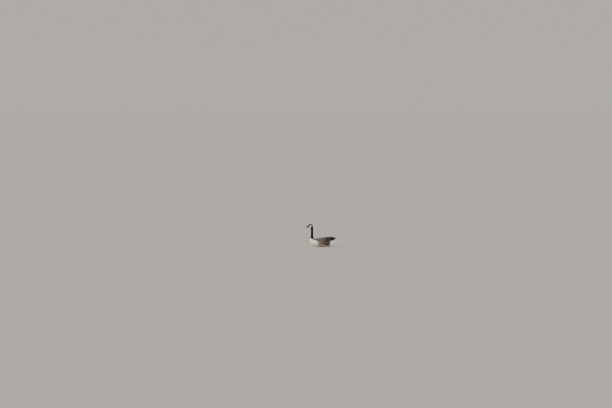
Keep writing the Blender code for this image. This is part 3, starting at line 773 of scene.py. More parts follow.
@dataclass(frozen=True)
class Plumage:
    """Feather keratin, grown as barbs off a shaft: soft and matt, with a pale worn rim and a faint slant grain.

    The barbs of a real vane lie about 0.5 mm apart; they are drawn about 1.3 mm apart, so that they show.
    """

    name: str
    roughness: float = 0.62
    specular: float = 0.22
    sheen: float = 0.06
    rim: float = 0.85
    rim_start: float = 0.80
    side_start: float = 0.66
    barb_tone: float = 0.06
    barb_slant: float = 0.22
    strand_tone: float = 0.30
    strands_across: float = 9.0
    strands_along: float = 1.8
    fray: float = 0.22
    shaft_tone: float = 0.0
    mottle: float = 0.30
    mottle_scale: float = 45.0
    relief: float = 0.25

    def material(self) -> Material:
        """Make the material.

        Returns:
            A material that reads the vane's own map, its colour and the colour of its rim.
        """
        made = new_material(self.name, self.roughness, self.specular, self.sheen)
        tone, fringe = (add_node(made, "Attribute", attribute_name=name) for name in ("tone", "fringe"))
        barbs = add_node(made, "Attribute", output="Fac", attribute_name="barbs")
        across = add_node(made, "SeparateXYZ", {0: add_node(made, "UVMap", uv_map="vane")})
        along = across.node.outputs["Y"]
        signed = add_node(made, "Math", {0: across, 1: 2.0, 2: -1.0}, operation="MULTIPLY_ADD")
        off_shaft = add_node(made, "Math", {0: signed}, operation="ABSOLUTE")
        # Barbs cling together in strands, which run the length of the vane and fray its rim
        place = add_node(made, "CombineXYZ", {
            "X": add_node(made, "Math", {0: across, 1: self.strands_across}, operation="MULTIPLY"),
            "Y": add_node(made, "Math", {0: along, 1: self.strands_along}, operation="MULTIPLY"), "Z": barbs})
        strands = add_node(made, "TexNoise", {"Vector": place, "Scale": 1.0, "Detail": 2.0})
        shift = add_node(made, "Math", {0: strands, 1: self.fray, 2: -self.fray / 2}, operation="MULTIPLY_ADD")
        worn_along, worn_across = (add_node(made, "Math", {0: measure, 1: shift}, operation="ADD")
                                   for measure in (along, off_shaft))
        tip = ramp(made, worn_along, self.rim_start, self.rim_start + 0.13)
        side = ramp(made, worn_across, self.side_start, 0.99)
        side = add_node(made, "Math", {0: side, 1: ramp(made, along, 0.30, 0.75)}, operation="MULTIPLY")
        edge = add_node(made, "Math", {0: tip, 1: side}, operation="MAXIMUM")
        edge = add_node(made, "Math", {0: edge, 1: self.rim}, operation="MULTIPLY")
        rimmed = add_node(made, "Mix", {0: edge, 6: tone, 7: fringe}, 2, data_type="RGBA")
        # Barbs slant from the shaft towards the tip
        slant = add_node(made, "Math", {0: off_shaft, 1: -self.barb_slant, 2: along}, operation="MULTIPLY_ADD")
        phase = add_node(made, "Math", {0: slant, 1: barbs}, operation="MULTIPLY")
        turned = add_node(made, "Math", {0: phase, 1: FULL_TURN}, operation="MULTIPLY")
        wave = add_node(made, "Math", {0: turned}, operation="SINE")
        shaft = ramp(made, off_shaft, 0.10, 0.03)
        # Mottle of a few centimetres, barbs, strands and shaft lighten or darken the colour
        position = add_node(made, "TexCoord", output="Object")
        value = add_node(made, "TexNoise", {"Vector": position, "Scale": self.mottle_scale, "Detail": 3.0})
        value = add_node(made, "Math", {0: value, 1: self.mottle, 2: 1 - self.mottle / 2}, operation="MULTIPLY_ADD")
        for part, share in ((wave, self.barb_tone / 2), (strands, self.strand_tone), (shaft, self.shaft_tone)):
            value = add_node(made, "Math", {0: part, 1: share, 2: value}, operation="MULTIPLY_ADD")
        value = add_node(made, "Math", {0: value, 1: self.strand_tone / 2}, operation="SUBTRACT")
        connect(made, add_node(made, "HueSaturation", {"Color": rimmed, "Value": value}), "Base Color")
        height = shaft
        for part, share in ((wave, 0.5), (strands, 2.0)):
            height = add_node(made, "Math", {0: part, 1: share, 2: height}, operation="MULTIPLY_ADD")
        bump = add_node(made, "Bump", {"Height": height, "Strength": self.relief, "Distance": 0.2 * MM})
        connect(made, bump, "Normal")
        return made


@dataclass(frozen=True)
class FeatheredSkin:
    """Skin with down close to it: matt, in the colours of the coat over it, with painted shade that darkens the
    hollows between its tufts.
    """

    name: str = "feathered_skin"
    roughness: float = 0.8
    tuft_scale: float = 330.0

    def material(self) -> Material:
        """Make the material, with tufts of down about 3 mm apart.

        Returns:
            A material that reads the skin's colour.
        """
        made = new_material(self.name, self.roughness, 0.2, 0.1)
        tone = add_node(made, "Attribute", attribute_name="tone")
        position = add_node(made, "TexCoord", output="Object")
        down = add_node(made, "TexNoise", {"Vector": position, "Scale": self.tuft_scale, "Detail": 3.0})
        # Painted shade: the lower the down lies in the bump, the darker its colour
        value = add_node(made, "Math", {0: down, 1: 0.5, 2: 0.5}, operation="MULTIPLY_ADD")
        connect(made, add_node(made, "HueSaturation", {"Color": tone, "Value": value}), "Base Color")
        connect(made, add_node(made, "Bump", {"Height": down, "Strength": 0.4, "Distance": 0.5 * MM}), "Normal")
        return made


@dataclass(frozen=True)
class Keratin:
    """Bill and claw horn, grown in layers: black with a satin gloss and fine lengthwise growth lines."""

    name: str = "black_keratin"
    colour: str = "#100f0f"
    worn: str = "#201d1b"
    roughness: float = 0.42
    line_spacing: float = 0.9 * MM
    line_length: float = 9.0
    line_pitch: float = math.radians(-15)
    wear_scale: float = 130.0

    def material(self) -> Material:
        """Make the material.

        Returns:
            A material whose growth lines run the length of the bill.
        """
        made = new_material(self.name, self.roughness, 0.4)
        position = add_node(made, "TexCoord", output="Object")
        stretched = add_node(made, "Mapping", {"Vector": position, "Rotation": (0, self.line_pitch, 0),
                                               "Scale": (self.line_length, 1.0, 1.0)}, vector_type="TEXTURE")
        lines = add_node(made, "TexNoise", {"Vector": stretched, "Scale": 1 / self.line_spacing, "Detail": 3.0})
        wear = add_node(made, "TexNoise", {"Vector": position, "Scale": self.wear_scale, "Detail": 4.0})
        colour = add_node(made, "Mix", {0: ramp(made, wear, 0.45, 0.85), 6: (*linear(self.colour), 1),
                                        7: (*linear(self.worn), 1)}, 2, data_type="RGBA")
        connect(made, colour, "Base Color")
        rough = add_node(made, "Math", {0: lines, 1: 0.12, 2: self.roughness - 0.06}, operation="MULTIPLY_ADD")
        connect(made, rough, "Roughness")
        connect(made, add_node(made, "Bump", {"Height": lines, "Strength": 0.3, "Distance": 0.15 * MM}), "Normal")
        return made


@dataclass(frozen=True)
class FootSkin:
    """Scaled skin of leg and web: leathery and black-grey, with small many-sided scutes about 1.6 mm across."""

    name: str = "scuted_skin"
    colour: str = "#26231f"
    worn: str = "#46413a"
    roughness: float = 0.5
    scute: float = 1.6 * MM

    def material(self) -> Material:
        """Make the material.

        Returns:
            A material with dark grooves between its scutes.
        """
        made = new_material(self.name, self.roughness, 0.4)
        position = add_node(made, "TexCoord", output="Object")
        cells = add_node(made, "TexVoronoi", {"Vector": position, "Scale": 1 / self.scute}, "Distance",
                         feature="DISTANCE_TO_EDGE")
        raised = ramp(made, cells, 0.0, 0.16)
        colour = add_node(made, "Mix", {0: raised, 6: (*linear(self.colour), 1), 7: (*linear(self.worn), 1)}, 2,
                          data_type="RGBA")
        connect(made, colour, "Base Color")
        connect(made, add_node(made, "Bump", {"Height": raised, "Strength": 0.5, "Distance": 0.25 * MM}), "Normal")
        return made


@dataclass(frozen=True)
class WetEye:
    """A wet eyeball: a dark brown iris round a black pupil, under a clear and mirror-smooth cornea."""

    name: str = "wet_eye"
    iris: str = "#21120a"
    rim: str = "#0c0705"
    pupil: str = "#030303"
    pupil_angle: float = math.radians(19)
    iris_angle: float = math.radians(42)
    fibre_scale: float = 1400.0

    def material(self) -> Material:
        """Make the material.

        Returns:
            A material that reads each place's angle from the line of sight.
        """
        made = new_material(self.name, 0.5, 0.0)
        shader_of(made).inputs["Coat Weight"].default_value = 0.7
        shader_of(made).inputs["Coat Roughness"].default_value = 0.02
        angle = add_node(made, "Attribute", output="Fac", attribute_name="gaze")
        position = add_node(made, "TexCoord", output="Object")
        fibres = add_node(made, "TexNoise", {"Vector": position, "Scale": self.fibre_scale, "Detail": 3.0})
        outer = ramp(made, angle, self.pupil_angle * 1.2, self.iris_angle)
        mixed = add_node(made, "Mix", {0: outer, 6: (*linear(self.iris), 1), 7: (*linear(self.rim), 1)}, 2,
                         data_type="RGBA")
        value = add_node(made, "Math", {0: fibres, 1: 1.2, 2: 0.4}, operation="MULTIPLY_ADD")
        mixed = add_node(made, "HueSaturation", {"Color": mixed, "Value": value})
        inside = ramp(made, angle, self.pupil_angle * 1.06, self.pupil_angle * 0.94)
        colour = add_node(made, "Mix", {0: inside, 6: mixed, 7: (*linear(self.pupil), 1)}, 2, data_type="RGBA")
        connect(made, colour, "Base Color")
        return made


@dataclass(frozen=True)
class StudioPaint:
    """Matt wall paint of the studio floor: even, pale and without a pattern of its own."""

    name: str = "matt_studio_paint"
    colour: str = "#b8b6b2"

    def material(self) -> Material:
        """Make the material.

        Returns:
            A material of one colour.
        """
        made = new_material(self.name, 0.9, 0.1)
        shader_of(made).inputs["Base Color"].default_value = (*linear(self.colour), 1)
        return made


def dress(obj: Object, material: Material, slot: Slot, *nodes: str) -> Object:
    """Give a piece its material, and let it ride on the goose in place of CAD nodes.

    Args:
        obj: the piece.
        material: its finish.
        slot: the record's material slot; not used.
        nodes: the CAD nodes that it stands for.

    Returns:
        The piece.
    """
    obj.data.materials.clear()
    obj.data.materials.append(material)
    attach(obj, "root")
    if nodes:
        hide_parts(*nodes)
    LOG.info("%s: %d faces of %s", obj.name, len(obj.data.polygons), material.name)
    return obj


# ---- markings


def breast_border(x: Array) -> Array:
    """The height of the line between the pale breast and the brown back."""
    return 0.183 - 0.570 * (x + 0.200)


def breast_share(points: Array, fray: Array) -> Array:
    """How much each place belongs to the pale breast, on the body and at the bend of the wing alike; at the bend the
    pale is also partly painted sunlight.
    """
    x, z = points[..., 0], points[..., 2]
    return smooth(-0.010, 0.022, breast_border(x) - z + 0.005 * fray) * smooth(-0.045, -0.135, x + 0.006 * fray)


@dataclass
class Markings:
    """Where each colour of the plumage lies on the body, for the skin and the coat alike."""

    form: BodyForm
    throat: Pair = (0.0850, -0.0262)
    behind_eye: Pair = (0.1205, 0.0130)
    throat_reach: float = 0.0215
    behind_eye_reach: float = 0.0125
    eye: Pair = EYE_PLACE
    eye_ring: float = 9.5 * MM

    def cheek(self, points: Array, fray: Array) -> Array:
        """Which points the white cheek patch covers: a strap from the chin to behind the eye.

        Args:
            points: places on the body.
            fray: a chance value from -1 to 1 for each, which frays the border.

        Returns:
            1 on the patch and 0 off it, for each point.
        """
        along, up = self.form.on_head(points)
        start, end = np.array(self.throat), np.array(self.behind_eye)
        axis = end - start
        share = ((along - start[0]) * axis[0] + (up - start[1]) * axis[1]) / (axis @ axis)
        share = np.clip(share, 0, 1)
        away = np.hypot(along - start[0] - axis[0] * share, up - start[1] - axis[1] * share)
        reach = self.throat_reach + (self.behind_eye_reach - self.throat_reach) * share
        return smooth(0.0002, -0.0002, away - reach + 0.7 * MM * fray)

    def around_eye(self, points: Array) -> Array:
        """How much each point belongs to the dark bare ring of the eye.

        Args:
            points: places on the body.

        Returns:
            From 0 to 1 for each point.
        """
        along, up = self.form.on_head(points)
        away = np.hypot(along - self.eye[0], up - self.eye[1])
        return smooth(self.eye_ring, self.eye_ring - 1.5 * MM, away)

    def colours(self, u: Array, turn: Array, points: Array, fray: Array) -> Tones:
        """Colours of feathers rooted on the body.

        Args:
            u: the place along the body of each root.
            turn: the turn round the body of each root.
            points: the place of each root.
            fray: a chance value from -1 to 1 for each feather, which frays the borders of the patches.

        Returns:
            The colours of the feathers and of their rims.
        """
        x, z = points[:, 0], points[:, 2]
        back = z - np.minimum(breast_border(x), 0.150) + 0.004 * fray
        # The white of the vent begins behind the legs, and further back up the side
        vent = x - 0.20 * (z - 0.09) + 0.30 * np.maximum(0, 0.06 - z) + 0.007 * fray
        rump = smooth(0.110, 0.130, x) * smooth(0.228, 0.226, x + 0.002 * fray)
        neck = smooth(self.form.neck_end + 0.09, self.form.neck_end + 0.07, u + 0.03 * fray)
        tones = same_tones(Plume.FLANK, Plume.FLANK_EDGE, len(u))
        for weight, tone, rim in (
                (smooth(0.060, 0.015, z), Plume.BELLY, Plume.BELLY_EDGE),
                (smooth(-0.004, 0.022, back), Plume.MANTLE, Plume.MANTLE_EDGE),
                (breast_share(points, fray), Plume.BREAST, Plume.BREAST_EDGE),
                (smooth(0.183, 0.187, vent), Plume.WHITE, Plume.WHITE),
                (rump * smooth(0.84, 0.88, 0.03 * fray - np.cos(turn)), Plume.RUMP, Plume.RUMP),
                (neck, Plume.BLACK, Plume.BLACK_EDGE),
                (self.cheek(points, fray) * (u < 12), Plume.CHEEK, Plume.CHEEK)):
            tones = tones.towards(tone, rim, weight)
        return tones


# ---- skin and body plumage


@dataclass
class Coat:
    """How the plumage changes along the body: at each place, its spacings and its depth, in millimetres."""

    places: Sequence[float] = (4, 5, 6, 8, 9.5, 12, 14, 15, 15.6, 16.5, 18, 20, 23, 25, 26.5, 28, 29, 31)
    along: Sequence[float] = (1.5, 1.5, 1.6, 1.75, 2.1, 3.0, 3.2, 3.6, 4.4, 6.5, 9, 11, 12, 11, 9, 7, 5.5, 4)
    across: Sequence[float] = (1.3, 1.35, 1.4, 1.55, 1.9, 2.6, 2.8, 3.2, 4.2, 6.2, 8.5, 10.5, 11, 10, 8.5, 6.5, 5, 3.5)
    depth: Sequence[float] = (0.5, 0.7, 0.8, 1.0, 1.2, 1.5, 1.6, 1.8, 2.1, 2.6, 3.2, 3.6, 3.8, 3.6, 3.2, 2.6, 2, 1.4)

    def read(self, values: Sequence[float], u: Array) -> Array:
        """One of the coat's sizes at places along the body, in metres."""
        return np.interp(u, self.places, values) * MM


@dataclass
class Skin:
    """The skin of head, neck, body and stern in one piece, under the plumage by the coat's depth."""

    form: BodyForm
    coat: Coat
    markings: Markings
    columns: int = 96
    row_spacing: float = 2.6 * MM

    def build(self) -> Object:
        """Loft the skin and paint the coat's markings on it.

        Returns:
            The skin.
        """
        places = [self.form.bill_end - 0.02]
        while places[-1] < self.form.skin_end:
            stretch = np.linalg.norm(self.form.tangents(np.full(8, places[-1]), np.arange(8) * 0.8)[0], axis=1)
            places.append(min(places[-1] + self.row_spacing / stretch.max(), self.form.skin_end))
        u, v = np.meshgrid(places, np.arange(self.columns) * FULL_TURN / self.columns, indexing="ij")
        depth = self.coat.read(self.coat.depth, u)
        points = self.form.point(u, v)
        inside = points - self.form.normal(u, v) * depth[..., None]
        inside[..., 2] = np.maximum(inside[..., 2], depth * 0.5)
        skin = grid_object("skin", inside)
        flat = points.reshape(-1, 3)
        tone = self.markings.colours(u.ravel(), v.ravel(), flat, np.zeros(len(flat))).tone
        tone = blend(tone, Plume.BLACK, self.markings.around_eye(flat) * (u.ravel() < self.form.head_end))
        # Painted shade: the skin takes the coat's colours darkened, for the shade it lies in under the feathers
        paint(skin.data, "tone", tone * 0.7)
        self.unwrap(skin, u, v)
        return skin

    def unwrap(self, skin: Object, u: Array, v: Array) -> None:
        """Lay the skin out flat by its own two coordinates, cut along the belly.

        Args:
            skin: the skin.
            u: the first coordinate of each vertex.
            v: the second coordinate of each vertex.
        """
        mesh = skin.data
        corners = corners_of(mesh)
        across = (v.ravel() / FULL_TURN)[corners]
        # The faces that close the round get their last corners on the far edge of the map
        side_corners = 4 * (len(mesh.polygons) - 2)
        quads = across[:side_corners].reshape(-1, 4)
        wraps = (quads.max(axis=1) - quads.min(axis=1)) > 0.5
        quads[wraps] = np.where(quads[wraps] < 0.5, quads[wraps] + 1, quads[wraps])
        across[:side_corners] = np.minimum(quads, 1.0).ravel()
        along = (u.ravel() / self.form.last)[corners]
        mesh.uv_layers.new(name="OFBake").data.foreach_set("uv", np.column_stack([along, across]).ravel())


@dataclass
class Zone:
    """A length of the body plumage that makes one piece."""

    name: str
    start: float
    end: float
    shape: VaneShape
    slot: Slot
    node: str


@dataclass
class BodyPlumage:
    """The small feathers of head, neck and body, in rows that lap backwards over one another."""

    form: BodyForm
    coat: Coat
    markings: Markings
    drape: Drape
    eye_clear: float = 6.0 * MM
    length_in_rows: float = 2.5
    roundness: float = 0.14
    width_in_columns: float = 1.5
    lean: float = math.radians(13)
    furrows: int = 24
    furrow_depth: float = 0.30 * MM
    end_margin: float = 0.25
    wings_begin: float = 15.0
    wing_search: float = 0.05
    seed: int = 11

    def zones(self) -> list[Zone]:
        """The pieces of the coat.

        Returns:
            The zones, from the face to the stern.
        """
        form = self.form
        return [
            Zone("face_plumage", form.bill_end, form.head_end, SMALL_CONTOUR, Slot.BLACK, "head"),
            Zone("neck_plumage", form.head_end, 15.3, SMALL_CONTOUR, Slot.BLACK, "neck_upper"),
            Zone("breast_plumage", 15.3, 19.5, BODY_CONTOUR, Slot.BROWN, "torso"),
            Zone("flank_plumage", 19.5, form.torso_end, BODY_CONTOUR, Slot.BROWN, "torso"),
            Zone("stern_plumage", form.torso_end, form.last - 0.8, BODY_CONTOUR, Slot.STERN, "tail"),
        ]

    def roots(self, zone: Zone, rng: np.random.Generator) -> tuple[Array, Array]:
        """Where the feathers of a zone grow: rows round the body, each row half a step from the last.

        Args:
            zone: the length of the body.
            rng: the seeded scatter.

        Returns:
            The two coordinates of each root.
        """
        dense = np.linspace(0, FULL_TURN, 721)
        u, row = zone.start + 0.02, 0
        all_u, all_v = [], []
        while u < zone.end:
            arc = arc_lengths(self.form.point(np.full_like(dense, u), dense))
            along, across = (float(self.coat.read(values, u)) for values in (self.coat.along, self.coat.across))
            number = max(8, round(arc[-1] / across))
            marks = (np.arange(number) + 0.5 * (row % 2) + rng.uniform(-0.16, 0.16, number)) / number
            turns = np.interp((marks % 1) * arc[-1], arc, dense)
            stretch = np.linalg.norm(self.form.tangents(np.full_like(turns, u), turns)[0], axis=1)
            step = along / np.quantile(stretch, 0.97)
            every = np.clip(np.round(along / (stretch * step)), 1, 6).astype(int)
            keep = (row % every) == 0
            all_u.append(u + rng.uniform(-0.14, 0.14, keep.sum()) * step)
            all_v.append(turns[keep])
            u += step
            row += 1
        return np.concatenate(all_u), np.concatenate(all_v)

    def vanes(self, zone: Zone, rng: np.random.Generator) -> VaneSet:
        """Sizes and colours of a zone's feathers.

        Args:
            zone: the length of the body.
            rng: the seeded scatter.

        Returns:
            The feathers, still with those that the wings or the eyes would hide.
        """
        u, v = self.roots(zone, rng)
        number = len(u)
        along, across = self.form.tangents(u, v)
        stretch = np.linalg.norm(along, axis=1)
        turn_size = np.maximum(np.linalg.norm(across, axis=1), 1e-4)
        slim = smooth(16.5, 15.0, u)
        length = self.coat.read(self.coat.along, u) * (self.length_in_rows + 0.9 * slim)
        length *= rng.uniform(0.88, 1.14, number)
        room = self.form.last - self.end_margin - u
        halfway = u + np.minimum(length / stretch, room) * 0.5
        far = np.linalg.norm(self.form.tangents(halfway, v)[0], axis=1)
        du = np.minimum(length / np.maximum(far, stretch * 0.4), room)
        dv = rng.normal(0, 0.09, number) * length / turn_size
        width = self.coat.read(self.coat.across, u) * (self.width_in_columns - 0.25 * slim)
        width *= rng.uniform(0.90, 1.10, number)
        depth = self.coat.read(self.coat.depth, u)
        if zone.slot is Slot.BROWN:
            # Feathers beside the wing lean towards the back, and lap over its edge
            beside = self.drape.lift(self.form.point(u, v), self.form.normal(u, v))[1]
            dv += np.sign(math.pi - v) * math.tan(self.lean) * beside * length / turn_size
        tones = self.markings.colours(u, v, self.form.point(u + du * 0.3, v), rng.uniform(-1, 1, number))
        tones = tones.lit(rng.uniform(0.92, 1.08, (number, 1)))
        furrow = self.furrow_depth * np.sin(self.furrows * v + 1.6 * u) * smooth(10, 12, u) * smooth(15.6, 14.6, u)
        bake = np.column_stack([(u - zone.start) / (zone.end - zone.start), v / FULL_TURN]) * 0.97 + 0.015
        sunk = 0.85 if zone.name == "flank_plumage" else 0.5
        # The last feathers of the stern close in on one another
        closing = 1.2 * MM * smooth(31.0, 32.0, u)
        return VaneSet(u, v, du, dv, width, -depth * sunk + furrow, depth * 0.08 + furrow - closing, depth * 0.12,
                       *tones, np.clip(bake, 0.01, 0.99), roundness=self.roundness)

    def build(self, wings: BVHTree, eyes: Sequence[Vector], finish: Material) -> None:
        """Make every zone's piece.

        Args:
            wings: the folded wings, which hide what lies under them.
            eyes: the middle of each eye.
            finish: the plumage's material.
        """
        for number, zone in enumerate(self.zones()):
            rng = np.random.default_rng(self.seed + number)
            vanes = self.vanes(zone, rng)
            vanes = vanes.kept(self.clear_of_eyes(vanes, eyes) & self.in_the_open(vanes, wings, zone))
            piece = VaneMesh(zone.name)
            piece.lay(self.form, zone.shape, vanes, drape=self.drape if zone.slot is Slot.BROWN else None)
            dress(piece.build(), finish, zone.slot, zone.node)

    def clear_of_eyes(self, vanes: VaneSet, eyes: Sequence[Vector]) -> Array:
        """Which feathers leave the eyes free.

        Args:
            vanes: the feathers.
            eyes: the middle of each eye.

        Returns:
            A mask over the feathers.
        """
        keep = np.ones(len(vanes.u), dtype=bool)
        for share in (0.0, 0.5, 1.0):
            points = self.form.point(vanes.u + vanes.du * share, vanes.v + vanes.dv * share)
            for eye in eyes:
                keep &= np.linalg.norm(points[:, (0, 2)] - np.array((eye.x, eye.z)), axis=1) > self.eye_clear
        return keep | (vanes.u > self.form.head_end)

    def in_the_open(self, vanes: VaneSet, wings: BVHTree, zone: Zone) -> Array:
        """Which feathers the folded wings leave in sight.

        Args:
            vanes: the feathers.
            wings: the folded wings.
            zone: the length of the body.

        Returns:
            A mask over the feathers.
        """
        keep = np.ones(len(vanes.u), dtype=bool)
        if zone.start < self.wings_begin:
            return keep
        points = self.form.point(vanes.u, vanes.v)
        normals = self.form.normal(vanes.u, vanes.v)
        for i, (point, normal) in enumerate(zip(points, normals)):
            keep[i] = wings.ray_cast(Vector(point), Vector(normal), self.wing_search)[0] is None
        return keep


# ---- wings and back


class Tier(NamedTuple):
    """A row of like wing feathers: places of the first and last root and tip, and their size and colours."""

    count: int
    first_root: Pair
    last_root: Pair
    first_tip: Pair
    last_tip: Pair
    width: float
    root_lift: float
    tip_lift: float
    shape: VaneShape
    tone: Plume
    rim: Plume


@dataclass
class FoldedWings:
    """Both wings, folded over the back, with the scapulars that close the back between them."""

    wing: WingForm
    back: BackForm
    core_end_low: float = 0.60
    core_end_high: float = 0.74
    core_depth: float = 22 * MM
    core_end_depth: float = 5.5 * MM
    set_back: float = 3.2 * MM
    flight_twist: float = 1.7 * MM
    covert_twist: float = 1.0 * MM
    crown: float = 0.3 * MM
    scapular_rows: int = 17
    rump_reach: float = 0.66
    seed: int = 23

    def tiers(self) -> list[Tier]:
        """The rows of one wing, from the lowest layer to the highest.

        Returns:
            The tiers.
        """
        secondary = (FLIGHT_VANE, Plume.SECONDARY, Plume.SECONDARY_EDGE)
        covert = (COVERT_VANE, Plume.COVERT, Plume.COVERT_EDGE)
        rows = [
            # Primaries, secondaries and tertials
            Tier(10, (0.58, 0.14), (0.62, 0.80), (0.91, 0.10), (1.00, 0.76), 16.5, -3.0, -0.6,
                 FLIGHT_VANE, Plume.PRIMARY, Plume.PRIMARY_EDGE),
            Tier(13, (0.44, 0.04), (0.56, 0.68), (0.65, 0.02), (0.82, 0.58), 19.0, -2.8, 0.5, *secondary),
            Tier(5, (0.48, 0.70), (0.46, 0.94), (0.79, 0.62), (0.87, 0.92), 27.0, -2.4, 2.6, *secondary),
            # Greater and median coverts
            Tier(13, (0.29, 0.06), (0.36, 0.92), (0.46, 0.05), (0.57, 0.92), 20.5, -2.2, 2.8, *covert),
            Tier(12, (0.20, 0.08), (0.27, 0.90), (0.33, 0.07), (0.42, 0.90), 19.0, -2.0, 3.2, *covert),
            Tier(12, (0.14, 0.09), (0.20, 0.89), (0.255, 0.08), (0.335, 0.89), 18.0, -2.0, 3.5, *covert),
        ]
        # Lesser coverts
        for k, tip_lift in enumerate((3.4, 2.4, 1.0, -0.6)):
            start = 0.110 - 0.030 * k
            rows.append(Tier(11, (start, 0.10), (start + 0.05, 0.90), (start + 0.072, 0.09),
                             (start + 0.130, 0.90), 16.0, -2.8, tip_lift, *covert))
        return rows

    def envelope(self) -> BVHTree:
        """A search tree of the outside of both wings and the back, for the feathers that lap over them.

        Returns:
            The tree.
        """
        rows, columns = 50, 61
        u, v = np.meshgrid(np.linspace(0, 0.62, rows), np.linspace(-1, 1, columns), indexing="ij")
        firsts = [r * columns + c for r in range(rows - 1) for c in range(columns - 1)]
        quads = [(i, i + 1, i + columns + 1, i + columns) for i in firsts]
        return BVHTree.FromPolygons(self.back.point(u, v).reshape(-1, 3).tolist(), quads)

    def core(self) -> Object:
        """The closed form under the wing feathers, from one wing's lower edge over the back to the other's.

        Returns:
            The form, as a sheet with its own thickness.
        """
        v = np.linspace(-1, 1, 121)
        end = self.core_end_low + (self.core_end_high - self.core_end_low) * np.minimum(
            1, 1.6 * self.back.wing_place(v))
        share, across = np.meshgrid(np.linspace(0, 1, 70), v, indexing="ij")
        u = share * end[None, :]
        thinning = np.clip((share - 0.6) / 0.4, 0, 1)
        depth = self.core_depth + (self.core_end_depth - self.core_depth) * thinning
        points, normals = self.back.point(u, across), self.back.normal(u, across)
        obj = grid_object("folded_wing_skin", points - normals * self.set_back, points - normals * depth[..., None])
        # Painted shade: the mantle's colour darkened, for the shade the wing's skin lies in under the wing feathers
        paint(obj.data, "tone", same_tones(Plume.MANTLE, Plume.MANTLE, len(obj.data.vertices)).tone * 0.6)
        flat = np.stack([share * 0.48, (across + 1) / 2], -1).reshape(-1, 2)
        flat = np.concatenate([flat, flat + np.array([0.5, 0])])[corners_of(obj.data)]
        obj.data.uv_layers.new(name="OFBake").data.foreach_set("uv", flat.ravel())
        return obj

    def tier_vanes(self, tier: Tier, rng: np.random.Generator) -> VaneSet:
        """Lay out one row of feathers.

        Args:
            tier: the row.
            rng: the seeded scatter.

        Returns:
            The feathers of the row.
        """
        share = np.linspace(0, 1, tier.count)[:, None]
        root = np.array(tier.first_root) * (1 - share) + np.array(tier.last_root) * share
        tip = np.array(tier.first_tip) * (1 - share) + np.array(tier.last_tip) * share
        tip = tip + rng.uniform(-1, 1, tip.shape) * np.array((0.005, 0.006))
        tones = same_tones(tier.tone, tier.rim, tier.count).lit(rng.uniform(0.88, 1.12, (tier.count, 1)))
        # The bend of the wing is as pale as the breast beside it, whose feathers lap over it; the pale also stands in
        # part for painted sunlight on the front of the shoulder
        middle = root + (tip - root) * 0.4
        bend = breast_share(self.wing.point(*middle.T), rng.uniform(-1, 1, tier.count))
        tones = tones.towards(Plume.FLANK, Plume.FLANK_EDGE, np.minimum(1, 1.8 * bend))
        tones = tones.towards(Plume.BREAST, Plume.BREAST_EDGE, 0.9 * bend**1.5)
        twist = self.flight_twist if tier.shape is FLIGHT_VANE else self.covert_twist
        return VaneSet(*root.T, *(tip - root).T, tier.width * MM, tier.root_lift * MM, tier.tip_lift * MM,
                       self.crown, *tones, np.clip(root * 0.95 + 0.02, 0.01, 0.99), twist=twist)

    def build_wing(self, side: Side, finish: Material, flight: Material) -> None:
        """Make the coverts and the flight feathers of one wing.

        Args:
            side: which wing.
            finish: the material of the coverts.
            flight: the material of the flight feathers.
        """
        name = side.name.lower()
        rng = np.random.default_rng(self.seed + side.value)
        coverts = VaneMesh(f"wing_coverts_{name}", soft=False)
        quills = VaneMesh(f"flight_feathers_{name}", soft=False)
        for tier in self.tiers():
            piece = quills if tier.shape is FLIGHT_VANE else coverts
            piece.lay(self.wing, tier.shape, self.tier_vanes(tier, rng), mirror=side is Side.LEFT)
        dress(coverts.build(), finish, Slot.WING, f"wing_{name}")
        dress(quills.build(), flight, Slot.WING, f"wing_{name}")

    def build_scapulars(self, body: BVHTree, finish: Material) -> None:
        """Make the rows that cover the back and the upper edge of both wings.

        Args:
            body: the skin, so that feathers buried in it are left out.
            finish: their material.
        """
        rng = np.random.default_rng(self.seed + 5)
        piece = VaneMesh("scapulars", soft=False)
        for row in range(self.scapular_rows):
            share = row / (self.scapular_rows - 1)
            u = -0.035 + 0.455 * share
            reach = 0.40 + 0.20 * min(1.0, 3 * share) - 0.20 * share
            spacing = (11 + 6 * share) * MM
            dense = np.linspace(-reach, reach, 200)
            arc = arc_lengths(self.back.point(np.full_like(dense, u), dense))
            number = max(3, round(arc[-1] / spacing)) + row % 2
            marks = (np.linspace(0, 1, number) + rng.uniform(-0.14, 0.14, number) / number) * arc[-1]
            v = np.interp(marks, arc, dense)
            length = (0.060 + 0.085 * share + 0.045 * share**3) * rng.uniform(0.84, 1.10, number)
            sunk = 6.0 - 4.2 * min(1.0, 5 * share)
            tones = same_tones(Plume.MANTLE, Plume.MANTLE_EDGE, number).lit(rng.uniform(0.86, 1.14, (number, 1)))
            # The last rows are as dark as the wing behind them
            late = 0.7 * smooth(0.5, 1.0, np.full(number, share))
            tones = tones.towards(Plume.SECONDARY, Plume.SECONDARY_EDGE, late)
            start = u + rng.uniform(-0.008, 0.008, number) + 0.012 * (np.abs(v) / reach) ** 2
            vanes = VaneSet(start, v, length, 0.06 * v * share, spacing * 1.62, -sunk * MM,
                            (4.4 - 2.2 * share) * MM, self.crown, *tones,
                            np.column_stack([np.full(number, 0.02 + 0.9 * share), (v + 1) / 2]))
            tips = self.back.point(vanes.u + vanes.du, vanes.v + vanes.dv)
            keep = np.array([not buried(body, tip) for tip in tips])
            piece.lay(self.back, COVERT_VANE, vanes.kept(keep))
        dress(piece.build(), finish, Slot.BROWN, "torso")
        self.build_rump(finish)

